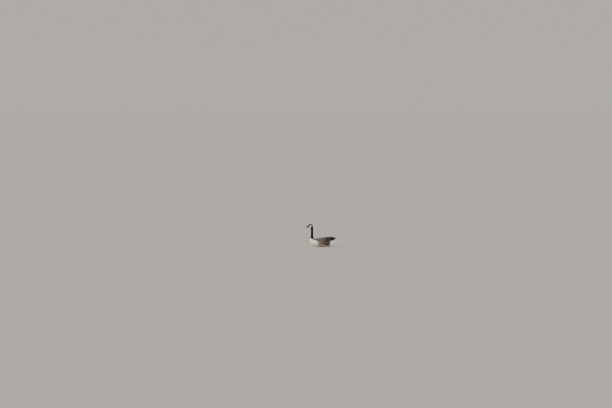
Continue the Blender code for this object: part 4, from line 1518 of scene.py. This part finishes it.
    def build_rump(self, finish: Material) -> None:
        """Make the dark feathers of the lower back, which fill the room under the folded wings.

        Args:
            finish: their material.
        """
        piece = VaneMesh("rump_plumage")
        for row, (start, sunk) in enumerate(((0.52, 8.0), (0.58, 14.0), (0.64, 20.0), (0.70, 26.0))):
            v = np.linspace(-self.rump_reach, self.rump_reach, 17 + row % 2)
            length = 0.17 - 0.10 * (np.abs(v) / self.rump_reach) ** 2
            bake = np.column_stack([np.full_like(v, 0.9 * start), (v + 1) / 2])
            vanes = VaneSet(start, v, length, 0.0, 19 * MM, -sunk * MM, -(sunk + 1) * MM, 0.8 * MM,
                            *same_tones(Plume.RUMP, Plume.TAIL_EDGE, len(v)), bake)
            piece.lay(self.back, COVERT_VANE, vanes)
        dress(piece.build(), finish, Slot.BLACK, "torso")


def buried(body: BVHTree, point: Array, depth: float = 0.004) -> bool:
    """Whether a point lies deeper in a form than the given depth."""
    near, normal, _, _ = body.find_nearest(Vector(point))
    return near is not None and (Vector(point) - near).dot(normal) < -depth


# ---- tail


@dataclass
class FanForm(Surface):
    """One plane of the tail, from its root to its tips: u is the length along it, v the distance across."""

    root: Triple
    turn: float
    slope: float
    droop: float = 4.5
    under: bool = False

    def point(self, u: Array, v: Array) -> Array:
        """Places on the plane, which droops a little away from the middle line.

        Args:
            u: first coordinates.
            v: second coordinates.

        Returns:
            x, y and z of each place.
        """
        across = -v if self.under else v
        x = self.root[0] + u * math.cos(self.turn) + across * math.sin(self.turn)
        y = self.root[1] + u * math.sin(self.turn) - across * math.cos(self.turn)
        z = self.root[2] + u * math.tan(self.slope) - self.droop * u**3
        return np.stack([x, y, z], axis=-1)


@dataclass
class Tail:
    """Eighteen stiff tail feathers in a low fan, with white coverts over and under their roots."""

    root: Triple = (0.226, 0.0, 0.1630)
    tip_x: float = 0.338
    slope: float = math.radians(16.5)
    fan: float = math.radians(17)
    vanes: int = 18
    width: float = 22 * MM
    drop: float = 0.40 * MM
    outer_shorter: float = 19 * MM
    upper_coverts: tuple[int, int] = (3, 13)
    under_coverts: tuple[int, int] = (4, 11)

    def build(self, finish: Material, white: Material) -> None:
        """Make the fan and the long coverts over its root.

        Args:
            finish: the material of the tail feathers.
            white: the material of the coverts.
        """
        piece = VaneMesh("tail_feathers", soft=False)
        for k in range(self.vanes):
            place = k - (self.vanes - 1) / 2
            piece.lay(self.plane(place), FLIGHT_VANE, self.one(place))
        dress(piece.build(), finish, Slot.BLACK, "tail")
        coverts = VaneMesh("tail_coverts", soft=False)
        rng = np.random.default_rng(3)
        rows, number = self.upper_coverts
        for row, k in itertools.product(range(rows), range(number)):
            place = (k - (number - 1) / 2) + rng.uniform(-0.2, 0.2)
            plane = self.plane(place * 1.25)
            plane.root = (self.root[0], plane.root[1], self.root[2] + 4.2 * MM - abs(place) * 1.3 * MM)
            start = (0.004 + 0.009 * row) + rng.uniform(-0.001, 0.001)
            coverts.lay(plane, COVERT_VANE, single_vane(
                start, 0.040, 13 * MM, (1.6 * MM - row * 0.9 * MM, 0.6 * MM), 0.8 * MM, (0.5, 0.1 + row * 0.1)))
        # Long coverts under the fan close the wedge between it and the stern
        rows, number = self.under_coverts
        for row, k in itertools.product(range(rows), range(number)):
            place = (k - (number - 1) / 2) + rng.uniform(-0.2, 0.2)
            plane = self.plane(place * 1.35)
            height = self.root[2] - (2.4 + 2.4 * (3 - row)) * MM - abs(place) * 0.6 * MM
            plane.root, plane.under = (self.root[0], plane.root[1], height), True
            length = 0.062 - 0.001 * abs(place) ** 2
            coverts.lay(plane, COVERT_VANE, single_vane(
                0.022 + 0.006 * row, length, 15 * MM, (0.0, 0.0), 0.8 * MM, (0.5, 0.5 + row * 0.1)))
        dress(coverts.build(), white, Slot.STERN, "tail")

    def plane(self, place: float) -> FanForm:
        """The plane of one feather.

        Args:
            place: its place from the middle of the fan.

        Returns:
            The plane.
        """
        turn = self.fan * place / (self.vanes / 2)
        root = (self.root[0], place * 1.4 * MM, self.root[2] - abs(place) * self.drop)
        return FanForm(root, turn, self.slope)

    def one(self, place: float) -> VaneSet:
        """A single tail feather in its own plane.

        Args:
            place: its place from the middle of the fan.

        Returns:
            The feather.
        """
        outward = abs(place) / (self.vanes / 2)
        length = (self.tip_x - self.root[0]) / math.cos(self.fan * outward) - self.outer_shorter * outward**2
        return single_vane(0.0, length, self.width, (0.0, 0.0), 0.9 * MM, (0.5 + place * 0.05, 0.5), Plume.TAIL,
                           Plume.TAIL_EDGE)


def single_vane(start: float, length: float, width: float, lifts: Pair, crown: float, bake: Pair,
                tone: Plume = Plume.WHITE, rim: Plume = Plume.WHITE) -> VaneSet:
    """One feather along the middle of a plane of its own, as a set of one."""
    return VaneSet(start, np.zeros(1), length, 0.0, width, *lifts, crown, *same_tones(tone, rim, 1), np.array([bake]))


# ---- bill, eyes and lids


def deselect() -> None:
    """Leave nothing selected and nothing active, so that an operator works on new pieces alone."""
    for obj in list(bpy.context.selected_objects):
        obj.select_set(False)
    bpy.context.view_layer.objects.active = None


def select_only(obj: Object) -> None:
    """Select one object and make it active.

    Args:
        obj: the object.
    """
    deselect()
    obj.select_set(True)
    bpy.context.view_layer.objects.active = obj


def apply_modifier(obj: Object, kind: str, **settings: object) -> None:
    """Add a modifier with its settings to an object and apply it.

    Args:
        obj: the object.
        kind: the modifier's type.
        settings: its properties.
    """
    modifier = obj.modifiers.new(kind.title(), kind)
    for name, value in settings.items():
        setattr(modifier, name, value)
    select_only(obj)
    bpy.ops.object.modifier_apply(modifier=modifier.name)


def smooth_by_angle(obj: Object, degrees: float) -> None:
    """Shade an object smooth, with sharp edges where it turns by more than the angle."""
    select_only(obj)
    bpy.ops.object.shade_smooth_by_angle(angle=math.radians(degrees))


def halve(obj: Object, point: Vector, normal: Vector) -> None:
    """Cut an object with a plane, close it, and keep the side that the normal points to.

    Args:
        obj: the object.
        point: a place on the plane.
        normal: which way to keep.
    """
    bm = bmesh.new()
    bm.from_mesh(obj.data)
    everything = bm.verts[:] + bm.edges[:] + bm.faces[:]
    cut = bmesh.ops.bisect_plane(bm, geom=everything, dist=1e-7, plane_co=point, plane_no=normal, clear_inner=True)
    edges = [item for item in cut["geom_cut"] if isinstance(item, bmesh.types.BMEdge)]
    bmesh.ops.triangle_fill(bm, edges=edges, use_beauty=True)
    bmesh.ops.recalc_face_normals(bm, faces=bm.faces)
    bm.to_mesh(obj.data)
    bm.free()


@dataclass
class Bill:
    """The bill: the upper half with its nail, nostrils and cutting edge, and the lower half tucked under it."""

    form: BodyForm
    mouth_at_tip: float = -1.2 * MM
    mouth_at_base: float = -4.5 * MM
    mouth_gap: float = 0.45 * MM
    lower_width: float = 0.88
    nail_along: float = 4.0 * MM
    nail_half_length: float = 6.5 * MM
    nail_half_width: float = 5.0 * MM
    nail_height: float = 0.25 * MM
    nail_groove: float = 0.14 * MM
    nostril_at: Pair = (0.033, 0.0082)
    nostril_size: Triple = (0.0056, 0.0034, 0.0016)
    nostril_pitch: float = math.radians(11.5)
    nostril_ring: float = 2.9
    nostril_turn: float = 0.62 * math.pi
    tip_dome: float = 1.3 * MM
    edge: float = 0.22 * MM

    def build(self, finish: Material) -> None:
        """Make both halves.

        Args:
            finish: the horn.
        """
        upper = self.whole("bill_horn_upper")
        lower = self.whole("bill_horn_lower")
        front_x, front_z = self.form.pitched(0.0, self.mouth_at_tip)
        base_along = self.form.head[4].under[0]
        back_x, back_z = self.form.pitched(base_along, self.mouth_at_base)
        front = Vector((front_x, 0, front_z))
        along = Vector((back_x - front_x, 0, back_z - front_z)).normalized()
        upward = Vector((-along.z, 0, along.x))
        halve(upper, front + upward * self.mouth_gap / 2, upward)
        halve(lower, front - upward * self.mouth_gap / 2, -upward)
        for vert in lower.data.vertices:
            vert.co.y *= self.lower_width
        half = float(self.form.point(np.array(self.nostril_ring), np.array(self.nostril_turn))[1])
        for side in Side:
            hole = self.ball("nostril", self.nostril_at, self.nostril_size, side.value * half, self.nostril_pitch)
            apply_modifier(upper, "BOOLEAN", operation="DIFFERENCE", solver="EXACT", object=hole)
            bpy.data.objects.remove(hole, do_unlink=True)
        for piece, node in ((upper, "bill_upper"), (lower, "bill_lower")):
            apply_modifier(piece, "BEVEL", width=self.edge, segments=2, limit_method="ANGLE",
                           angle_limit=math.radians(38))
            smooth_by_angle(piece, 50)
            dress(piece, finish, Slot.HORN, node)

    def whole(self, name: str) -> Object:
        """The bill before the mouth parts it, with a rounded tip.

        Args:
            name: its name.

        Returns:
            The closed bill.
        """
        turns = np.arange(72) * FULL_TURN / 72
        places = np.concatenate([np.linspace(0, 1.9, 40)[:-1], np.linspace(1.9, self.form.bill_end + 0.03, 26)])
        u, v = np.meshgrid(places, turns, indexing="ij")
        sections = self.form.point(u, v)
        # The nail is a low shield on top of the tip, with a groove round it
        along, up = self.form.on_head(sections)
        rim = np.hypot((along - self.nail_along) / self.nail_half_length, sections[..., 1] / self.nail_half_width)
        raised = self.nail_height * smooth(1.0, 0.75, rim) - self.nail_groove * np.exp(-((rim - 1.04) / 0.10) ** 2)
        normals = self.form.normal(u, v)
        sections = sections + normals * (raised * smooth(-0.2, 0.4, normals[..., 2]))[..., None]
        first = sections[0]
        middle = first.mean(axis=0)
        ahead = np.array([-math.cos(self.form.head_pitch), 0, -math.sin(self.form.head_pitch)])
        dome = [middle + (first - middle) * math.cos(a) + ahead * self.tip_dome * math.sin(a)
                for a in np.linspace(math.radians(80), math.radians(12), 7)]
        return grid_object(name, np.concatenate([dome, sections]))

    def ball(self, name: str, place: Pair, size: Triple, y: float, pitch: float) -> Object:
        """A ball with three radii on the bill, pitched with it.

        Args:
            name: its name.
            place: how far along and up from the bill tip it lies.
            size: its three radii.
            y: how far aside it lies.
            pitch: its pitch over the head's own.

        Returns:
            The ball.
        """
        x, z = self.form.pitched(*place)
        deselect()
        bpy.ops.mesh.primitive_uv_sphere_add(segments=40, ring_count=24, radius=1.0)
        ball = bpy.context.object
        ball.name = name
        turned = Matrix.Translation((x, y, z)) @ Matrix.Rotation(-self.form.head_pitch - pitch, 4, "Y")
        ball.data.transform(turned @ Matrix.Diagonal((*size, 1)))
        return ball


@dataclass
class Eyes:
    """Both eyeballs, each set in the head with only its front between the lids."""

    form: BodyForm
    place: Pair = EYE_PLACE
    radius: float = 7.5 * MM
    depth: float = 3.8 * MM
    opening: Pair = (math.radians(47), math.radians(40))
    lid_thickness: float = 0.42 * MM

    def centre(self, side: Side, face: BVHTree) -> tuple[Vector, Vector]:
        """The middle of an eyeball and its line of sight.

        Args:
            side: which eye.
            face: the outside of the head.

        Returns:
            The two vectors.
        """
        x, z = self.form.pitched(*self.place)
        point, normal, _, _ = face.ray_cast(Vector((x, side.value * 0.1, z)), Vector((0, -side.value, 0)))
        return point - normal * self.depth, normal

    def build(self, side: Side, face: BVHTree, wet: Material, rim: Material) -> None:
        """Make one eyeball and its lids.

        Args:
            side: which eye.
            face: the outside of the head.
            wet: the eyeball's material.
            rim: the lids' material.
        """
        name = side.name.lower()
        centre, sight = self.centre(side, face)
        deselect()
        bpy.ops.mesh.primitive_uv_sphere_add(segments=64, ring_count=40, radius=self.radius)
        ball = bpy.context.object
        ball.name = f"eyeball_{name}"
        ball.data.transform(Matrix.Translation(centre) @ sight.to_track_quat("Z", "Y").to_matrix().to_4x4())
        ball.data.shade_smooth()
        gaze = ball.data.attributes.new("gaze", "FLOAT", "POINT")
        gaze.data.foreach_set("value", [sight.angle(vert.co - centre) for vert in ball.data.vertices])
        dress(ball, wet, Slot.EYE, f"eye_{name}")
        dress(self.lids(f"eyelids_{name}", centre, sight), rim, Slot.BLACK, "head")

    def lids(self, name: str, centre: Vector, sight: Vector) -> Object:
        """The bare rims of both lids as one ring that lies on the eyeball and sinks into the face.

        Args:
            name: its name.
            centre: the middle of the eyeball.
            sight: its line of sight.

        Returns:
            The closed ring.
        """
        forward = Vector((-math.cos(self.form.head_pitch), 0, -math.sin(self.form.head_pitch)))
        level = (forward - sight * forward.dot(sight)).normalized()
        upward = level.cross(sight)
        if upward.z < 0:
            upward = -upward
        wide, high = self.opening
        around, across = 72, 10
        rings = []
        for k in range(around):
            turn = FULL_TURN * k / around
            # The corners of the opening are drawn out, in front a little more than behind
            corner = 1 + 0.07 * max(0.0, math.cos(turn)) ** 6 + 0.04 * max(0.0, -math.cos(turn)) ** 6
            angle = corner * math.hypot(wide * math.cos(turn), high * math.sin(turn))
            spoke = level * math.cos(turn) + upward * math.sin(turn)
            section = []
            for j in range(across):
                roll = FULL_TURN * j / across
                # A flat oval, longer away from the opening than towards it
                outward = math.cos(roll)
                reach = 3.0 if outward > 0 else 0.8
                rise = math.sin(roll)
                tilt = angle + (outward + 0.75) * reach * self.lid_thickness / self.radius
                sunk = 0.75 * self.lid_thickness * max(0.0, outward)
                radius = self.radius + self.lid_thickness * (0.35 + 0.65 * rise) - sunk
                section.append(tuple(centre + (sight * math.cos(tilt) + spoke * math.sin(tilt)) * radius))
            rings.append(section)
        lids = grid_object(name, np.array(rings), ring=True)
        face_outwards(lids)
        return lids


def face_outwards(obj: Object) -> None:
    """Turn an object's faces outwards.

    Args:
        obj: the object, of closed shells.
    """
    bm = bmesh.new()
    bm.from_mesh(obj.data)
    bmesh.ops.recalc_face_normals(bm, faces=bm.faces)
    bm.to_mesh(obj.data)
    bm.free()


# ---- legs and feet


Station = tuple[Triple, float]


@dataclass
class Foot:
    """A leg and its webbed foot, folded under the belly: shank, three front toes, hind toe, web and claws."""

    toe_joint: Triple = (0.034, 0.076, 0.0065)
    ankle: Triple = (0.110, 0.066, 0.0112)
    sides: int = 24
    knuckle: float = 0.13
    voxel: float = 0.75 * MM
    web_thickness: float = 2.2 * MM

    def tubes(self) -> dict[str, list[Station]]:
        """The places and radii along each toe and along the shank.

        Returns:
            The stations of each tube by its name, from the leg outwards.
        """
        joint = self.toe_joint
        return {
            "shank": [((0.121, 0.065, 0.0130), 0.0050), ((0.116, 0.0655, 0.0125), 0.0092), (self.ankle, 0.0100),
                      ((0.098, 0.068, 0.0085), 0.0072), ((0.062, 0.073, 0.0070), 0.0058), (joint, 0.0064)],
            "middle": [(joint, 0.0056), ((0.006, 0.081, 0.0050), 0.0046), ((-0.024, 0.086, 0.0042), 0.0040),
                       ((-0.046, 0.0895, 0.0031), 0.0028)],
            "inner": [(joint, 0.0054), ((0.012, 0.069, 0.0048), 0.0042), ((-0.010, 0.063, 0.0038), 0.0036),
                      ((-0.024, 0.0595, 0.0027), 0.0025)],
            "outer": [(joint, 0.0054), ((0.010, 0.088, 0.0048), 0.0044), ((-0.014, 0.100, 0.0040), 0.0038),
                      ((-0.032, 0.108, 0.0029), 0.0026)],
            "hind": [((0.050, 0.070, 0.0060), 0.0036), ((0.054, 0.060, 0.0045), 0.0030),
                     ((0.058, 0.053, 0.0032), 0.0018)],
        }

    def tube(self, name: str, stations: list[Station], knuckle: float) -> Object:
        """A round length through its stations, swollen at its joints.

        Args:
            name: its name.
            stations: places with a radius each.
            knuckle: how much the joints swell, as a share of the radius.

        Returns:
            The closed tube.
        """
        rows = np.array([(*place, radius) for place, radius in stations])
        places = np.linspace(0, len(rows) - 1, 12 * (len(rows) - 1) + 1)
        line = spline(rows, places)
        ahead = np.gradient(line[:, :3], axis=0)
        ahead /= np.linalg.norm(ahead, axis=1, keepdims=True)
        level = np.cross(ahead, (0, 0, 1))
        level /= np.linalg.norm(level, axis=1, keepdims=True)
        raised = np.cross(level, ahead)
        swell = 1 + knuckle * np.exp(-((places - np.round(places)) / 0.16) ** 2)
        turns = np.arange(self.sides) * FULL_TURN / self.sides
        ring = level[:, None] * np.cos(turns)[None, :, None] + raised[:, None] * np.sin(turns)[None, :, None]
        obj = grid_object(name, line[:, None, :3] + ring * (line[:, 3] * swell)[:, None, None])
        face_outwards(obj)
        return obj

    def web(self) -> Object:
        """The web, drawn in between the tips of the front toes.

        Returns:
            A flat closed sheet that reaches a little below the floor.
        """
        tubes = self.tubes()
        tips = [Vector(tubes[name][-1][0]) for name in ("inner", "middle", "outer")]
        heel = Vector(self.toe_joint)
        outline = [heel + Vector((0.004, -0.004, 0))]
        for near, far in zip(tips, tips[1:]):
            inset = (heel - (near + far) / 2) * 0.20
            for share in np.linspace(0.03, 0.92, 12):
                outline.append(near.lerp(far, share) + inset * 4 * share * (1 - share))
        outline += [tips[-1], heel + Vector((0.004, 0.004, 0))]
        levels = [[(p.x, p.y, z) for p in outline] for z in (-2 * MM, self.web_thickness)]
        web = grid_object("web", np.array(levels))
        face_outwards(web)
        return web

    def build(self, side: Side, skin: Material, horn: Material) -> None:
        """Make one leg, its foot and its claws.

        Args:
            side: which leg.
            skin: the scaled skin.
            horn: the claws' material.
        """
        name = side.name.lower()
        limb = self.web()
        for key, stations in self.tubes().items():
            piece = self.tube(key, stations, 0.0 if key == "shank" else self.knuckle)
            apply_modifier(limb, "BOOLEAN", operation="UNION", solver="EXACT", object=piece)
            bpy.data.objects.remove(piece, do_unlink=True)
        apply_modifier(limb, "REMESH", mode="VOXEL", voxel_size=self.voxel, use_smooth_shade=True)
        apply_modifier(limb, "SMOOTH", factor=0.5, iterations=3)
        halve(limb, Vector((0, 0, 0)), Vector((0, 0, 1)))
        limb.name = f"webbed_foot_{name}"
        smooth_by_angle(limb, 40)
        claws = self.claws(f"claws_{name}")
        for piece, finish in ((limb, skin), (claws, horn)):
            if side is Side.LEFT:
                piece.data.transform(Matrix.Scale(-1, 4, (0, 1, 0)))
                piece.data.flip_normals()
            dress(piece, finish, Slot.FOOT, f"foot_{name}", f"leg_{name}")

    def claws(self, name: str) -> Object:
        """Short, blunt claws on the four toes, bent down to the floor, as one mesh.

        Args:
            name: its name.

        Returns:
            The claws.
        """
        pieces = []
        for key, stations in self.tubes().items():
            if key == "shank":
                continue
            tip, before = Vector(stations[-1][0]), Vector(stations[-2][0])
            ahead = (tip - before).normalized()
            radius = stations[-1][1]
            start = tip - ahead * 1.5 * MM + Vector((0, 0, 0.6 * MM))
            path = [(tuple(start + ahead * along * MM - Vector((0, 0, drop * MM))), radius * share)
                    for along, drop, share in ((0.0, 0.0, 0.72), (3.0, 0.0, 0.62), (5.4, 0.7, 0.36), (6.8, 1.7, 0.12))]
            pieces.append(self.tube("claw", path, 0.0))
        deselect()
        for piece in pieces:
            piece.select_set(True)
        bpy.context.view_layer.objects.active = pieces[0]
        bpy.ops.object.join()
        claws = bpy.context.object
        claws.name = name
        for vert in claws.data.vertices:
            vert.co.z = max(vert.co.z, 0.1 * MM)
        claws.data.shade_smooth()
        return claws


@dataclass
class Thigh(Surface):
    """The feathered thigh that comes out of the flank and covers the ankle: u runs backwards, v round it."""

    front: Triple = (0.040, 0.0665, 0.0260)
    back: Triple = (0.150, 0.0600, 0.0120)
    thickness: float = 18.5 * MM
    rows: int = 9
    around: int = 15

    def point(self, u: Array, v: Array) -> Array:
        """Places on the thigh.

        Args:
            u: first coordinates.
            v: second coordinates.

        Returns:
            x, y and z of each place.
        """
        front, back = np.array(self.front), np.array(self.back)
        middle = front + (back - front) * u[..., None]
        taper = np.abs(u - 0.36) / np.where(u < 0.36, 0.38, 0.66)
        radius = self.thickness * np.sqrt(np.clip(1 - taper**2.0, 0.002, 1))
        ring = np.stack([np.zeros_like(v), np.sin(v), -np.cos(v)], axis=-1)
        return middle + ring * radius[..., None]

    def build(self, side: Side, finish: Material) -> None:
        """Lay the feathers of one thigh.

        Args:
            side: which thigh.
            finish: the plumage's material.
        """
        rng = np.random.default_rng(40 + side.value)
        piece = VaneMesh(f"thigh_plumage_{side.name.lower()}")
        for row in range(self.rows):
            share = row / (self.rows - 1)
            number = self.around
            u = 0.06 + 0.71 * share + rng.uniform(-0.02, 0.02, number) * (1 - share)
            v = (np.arange(number) + 0.5 * (row % 2)) * FULL_TURN / number
            height = self.point(u + 0.1, v)[:, 2]
            tones = same_tones(Plume.MANTLE, Plume.MANTLE_EDGE, number)
            tones = tones.towards(Plume.FLANK, Plume.FLANK_EDGE, smooth(0.044, 0.026, height))
            tones = tones.towards(Plume.BELLY, Plume.BELLY_EDGE, smooth(0.026, 0.008, height))
            tones = tones.lit(rng.uniform(0.92, 1.08, (number, 1)))
            bake = np.column_stack([np.full(number, 0.05 + 0.9 * share), v / FULL_TURN * 0.96 + 0.02])
            vanes = VaneSet(u, v, 0.26, rng.normal(0, 0.05, number), 11.5 * MM, -2.0 * MM, 0.3 * MM, 0.3 * MM,
                            *tones, bake, roundness=0.14)
            piece.lay(self, BODY_CONTOUR, vanes, mirror=side is Side.LEFT)
        dress(piece.build(), finish, Slot.BROWN, "torso")


# ---- studio


@dataclass
class Studio:
    """A plain pale floor, soft lights, and the camera in the photograph's place.

    The row level_row of the photograph looks at the height level_height over the floor.
    """

    image_width: int = 612
    image_height: int = 408
    metres_per_pixel: float = 0.0215
    middle_x: float = 321.2
    level_row: float = 243.5
    level_height: float = 0.075
    lens: float = 200.0
    sensor: float = 36.0
    elevation: float = math.radians(2.0)
    floor_size: float = 900.0
    horizon: Triple = (0.554, 0.523, 0.483)
    zenith: Triple = (0.33, 0.35, 0.38)

    def floor(self) -> None:
        """Lay the floor."""
        deselect()
        bpy.ops.mesh.primitive_plane_add(size=self.floor_size)
        floor = bpy.context.object
        floor.name = "studio_floor"
        floor.data.materials.append(StudioPaint().material())

    def lights(self) -> None:
        """Set the key light, low and warm from ahead of the goose, a cool fill, and the pale surroundings."""
        for name, strength, colour, angle, heading in (
                ("key", 3.3, "#fff4e4", 9, Vector((0.70, 0.38, -0.60))),
                ("fill", 1.15, "#dfe9ff", 60, Vector((-0.30, 0.85, -0.40)))):
            data = bpy.data.lights.new(name, "SUN")
            data.energy = strength
            data.color = linear(colour)
            data.angle = math.radians(angle)
            lamp = bpy.data.objects.new(name, data)
            lamp.rotation_mode = "QUATERNION"
            lamp.rotation_quaternion = heading.to_track_quat("-Z", "Y")
            bpy.context.scene.collection.objects.link(lamp)
        world = bpy.data.worlds.new("studio")
        world.use_nodes = True
        height = add_node(world, "SeparateXYZ", {0: add_node(world, "TexCoord", output="Generated")}, "Z")
        sky = add_node(world, "Mix", {0: height, 6: (*self.horizon, 1), 7: (*self.zenith, 1)}, 2, data_type="RGBA")
        background = world.node_tree.nodes["Background"]
        world.node_tree.links.new(sky, background.inputs["Color"])
        background.inputs["Strength"].default_value = 1.0
        bpy.context.scene.world = world

    def camera(self) -> None:
        """Set the camera so that the goose has its size and place in the photograph."""
        pixels = self.lens / self.sensor * self.image_width
        distance = self.metres_per_pixel * pixels
        x = (self.image_width / 2 - self.middle_x) * self.metres_per_pixel
        z = self.level_height + (self.level_row - self.image_height / 2) * self.metres_per_pixel
        data = bpy.data.cameras.new("camera")
        data.lens = self.lens
        data.sensor_width = self.sensor
        data.clip_start = 0.5
        data.clip_end = 2000.0
        camera = bpy.data.objects.new("camera", data)
        back = Vector((0, -math.cos(self.elevation), math.sin(self.elevation)))
        camera.location = Vector((x, 0, z)) + back * distance
        camera.rotation_mode = "QUATERNION"
        camera.rotation_quaternion = (-back).to_track_quat("-Z", "Y")
        bpy.context.scene.collection.objects.link(camera)
        bpy.context.scene.camera = camera


def main() -> None:
    """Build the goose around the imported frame."""
    logging.basicConfig(level=logging.INFO, format="%(name)s %(message)s")
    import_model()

    form = BodyForm()
    markings = Markings(form)
    coat = Coat()
    wing = WingForm()
    plumage = Plumage("contour_feather").material()
    covert = Plumage("covert_feather", barb_tone=0.08, shaft_tone=-0.12, rim_start=0.84, side_start=0.76,
                     rim=0.9, relief=0.4).material()
    flight = Plumage("flight_feather", roughness=0.5, barb_tone=0.08, strand_tone=0.2, shaft_tone=0.10,
                     rim_start=0.94, side_start=0.88, relief=0.5).material()
    horn = Keratin().material()
    scuted = FootSkin().material()

    skin = Skin(form, coat, markings).build()
    dress(skin, FeatheredSkin().material(), Slot.BROWN, "torso", "head", "neck_upper", "neck_lower", "tail")
    wings = FoldedWings(wing, BackForm(wing))
    core = wings.core()
    dress(core, FeatheredSkin("wing_skin").material(), Slot.WING, "wing_left", "wing_right")
    body_tree, wing_tree = tree_of(skin), tree_of(core)

    eyes = Eyes(form)
    lid_skin = Keratin("lid_skin", colour="#131110", worn="#201c1a", roughness=0.6).material()
    centres = [eyes.centre(side, body_tree)[0] for side in Side]
    for side in Side:
        eyes.build(side, body_tree, WetEye(f"wet_eye_{side.name.lower()}").material(), lid_skin)
    foot = Foot()
    drape = Drape(wings.envelope())
    BodyPlumage(form, coat, markings, drape).build(wing_tree, centres, plumage)
    for side in Side:
        wings.build_wing(side, covert, flight)
    wings.build_scapulars(body_tree, covert)
    Tail().build(flight, plumage)
    Bill(form).build(horn)
    for side in Side:
        foot.build(side, scuted, horn)
        Thigh().build(side, plumage)

    studio = Studio()
    studio.floor()
    studio.lights()
    studio.camera()


if __name__ == "__main__":
    main()
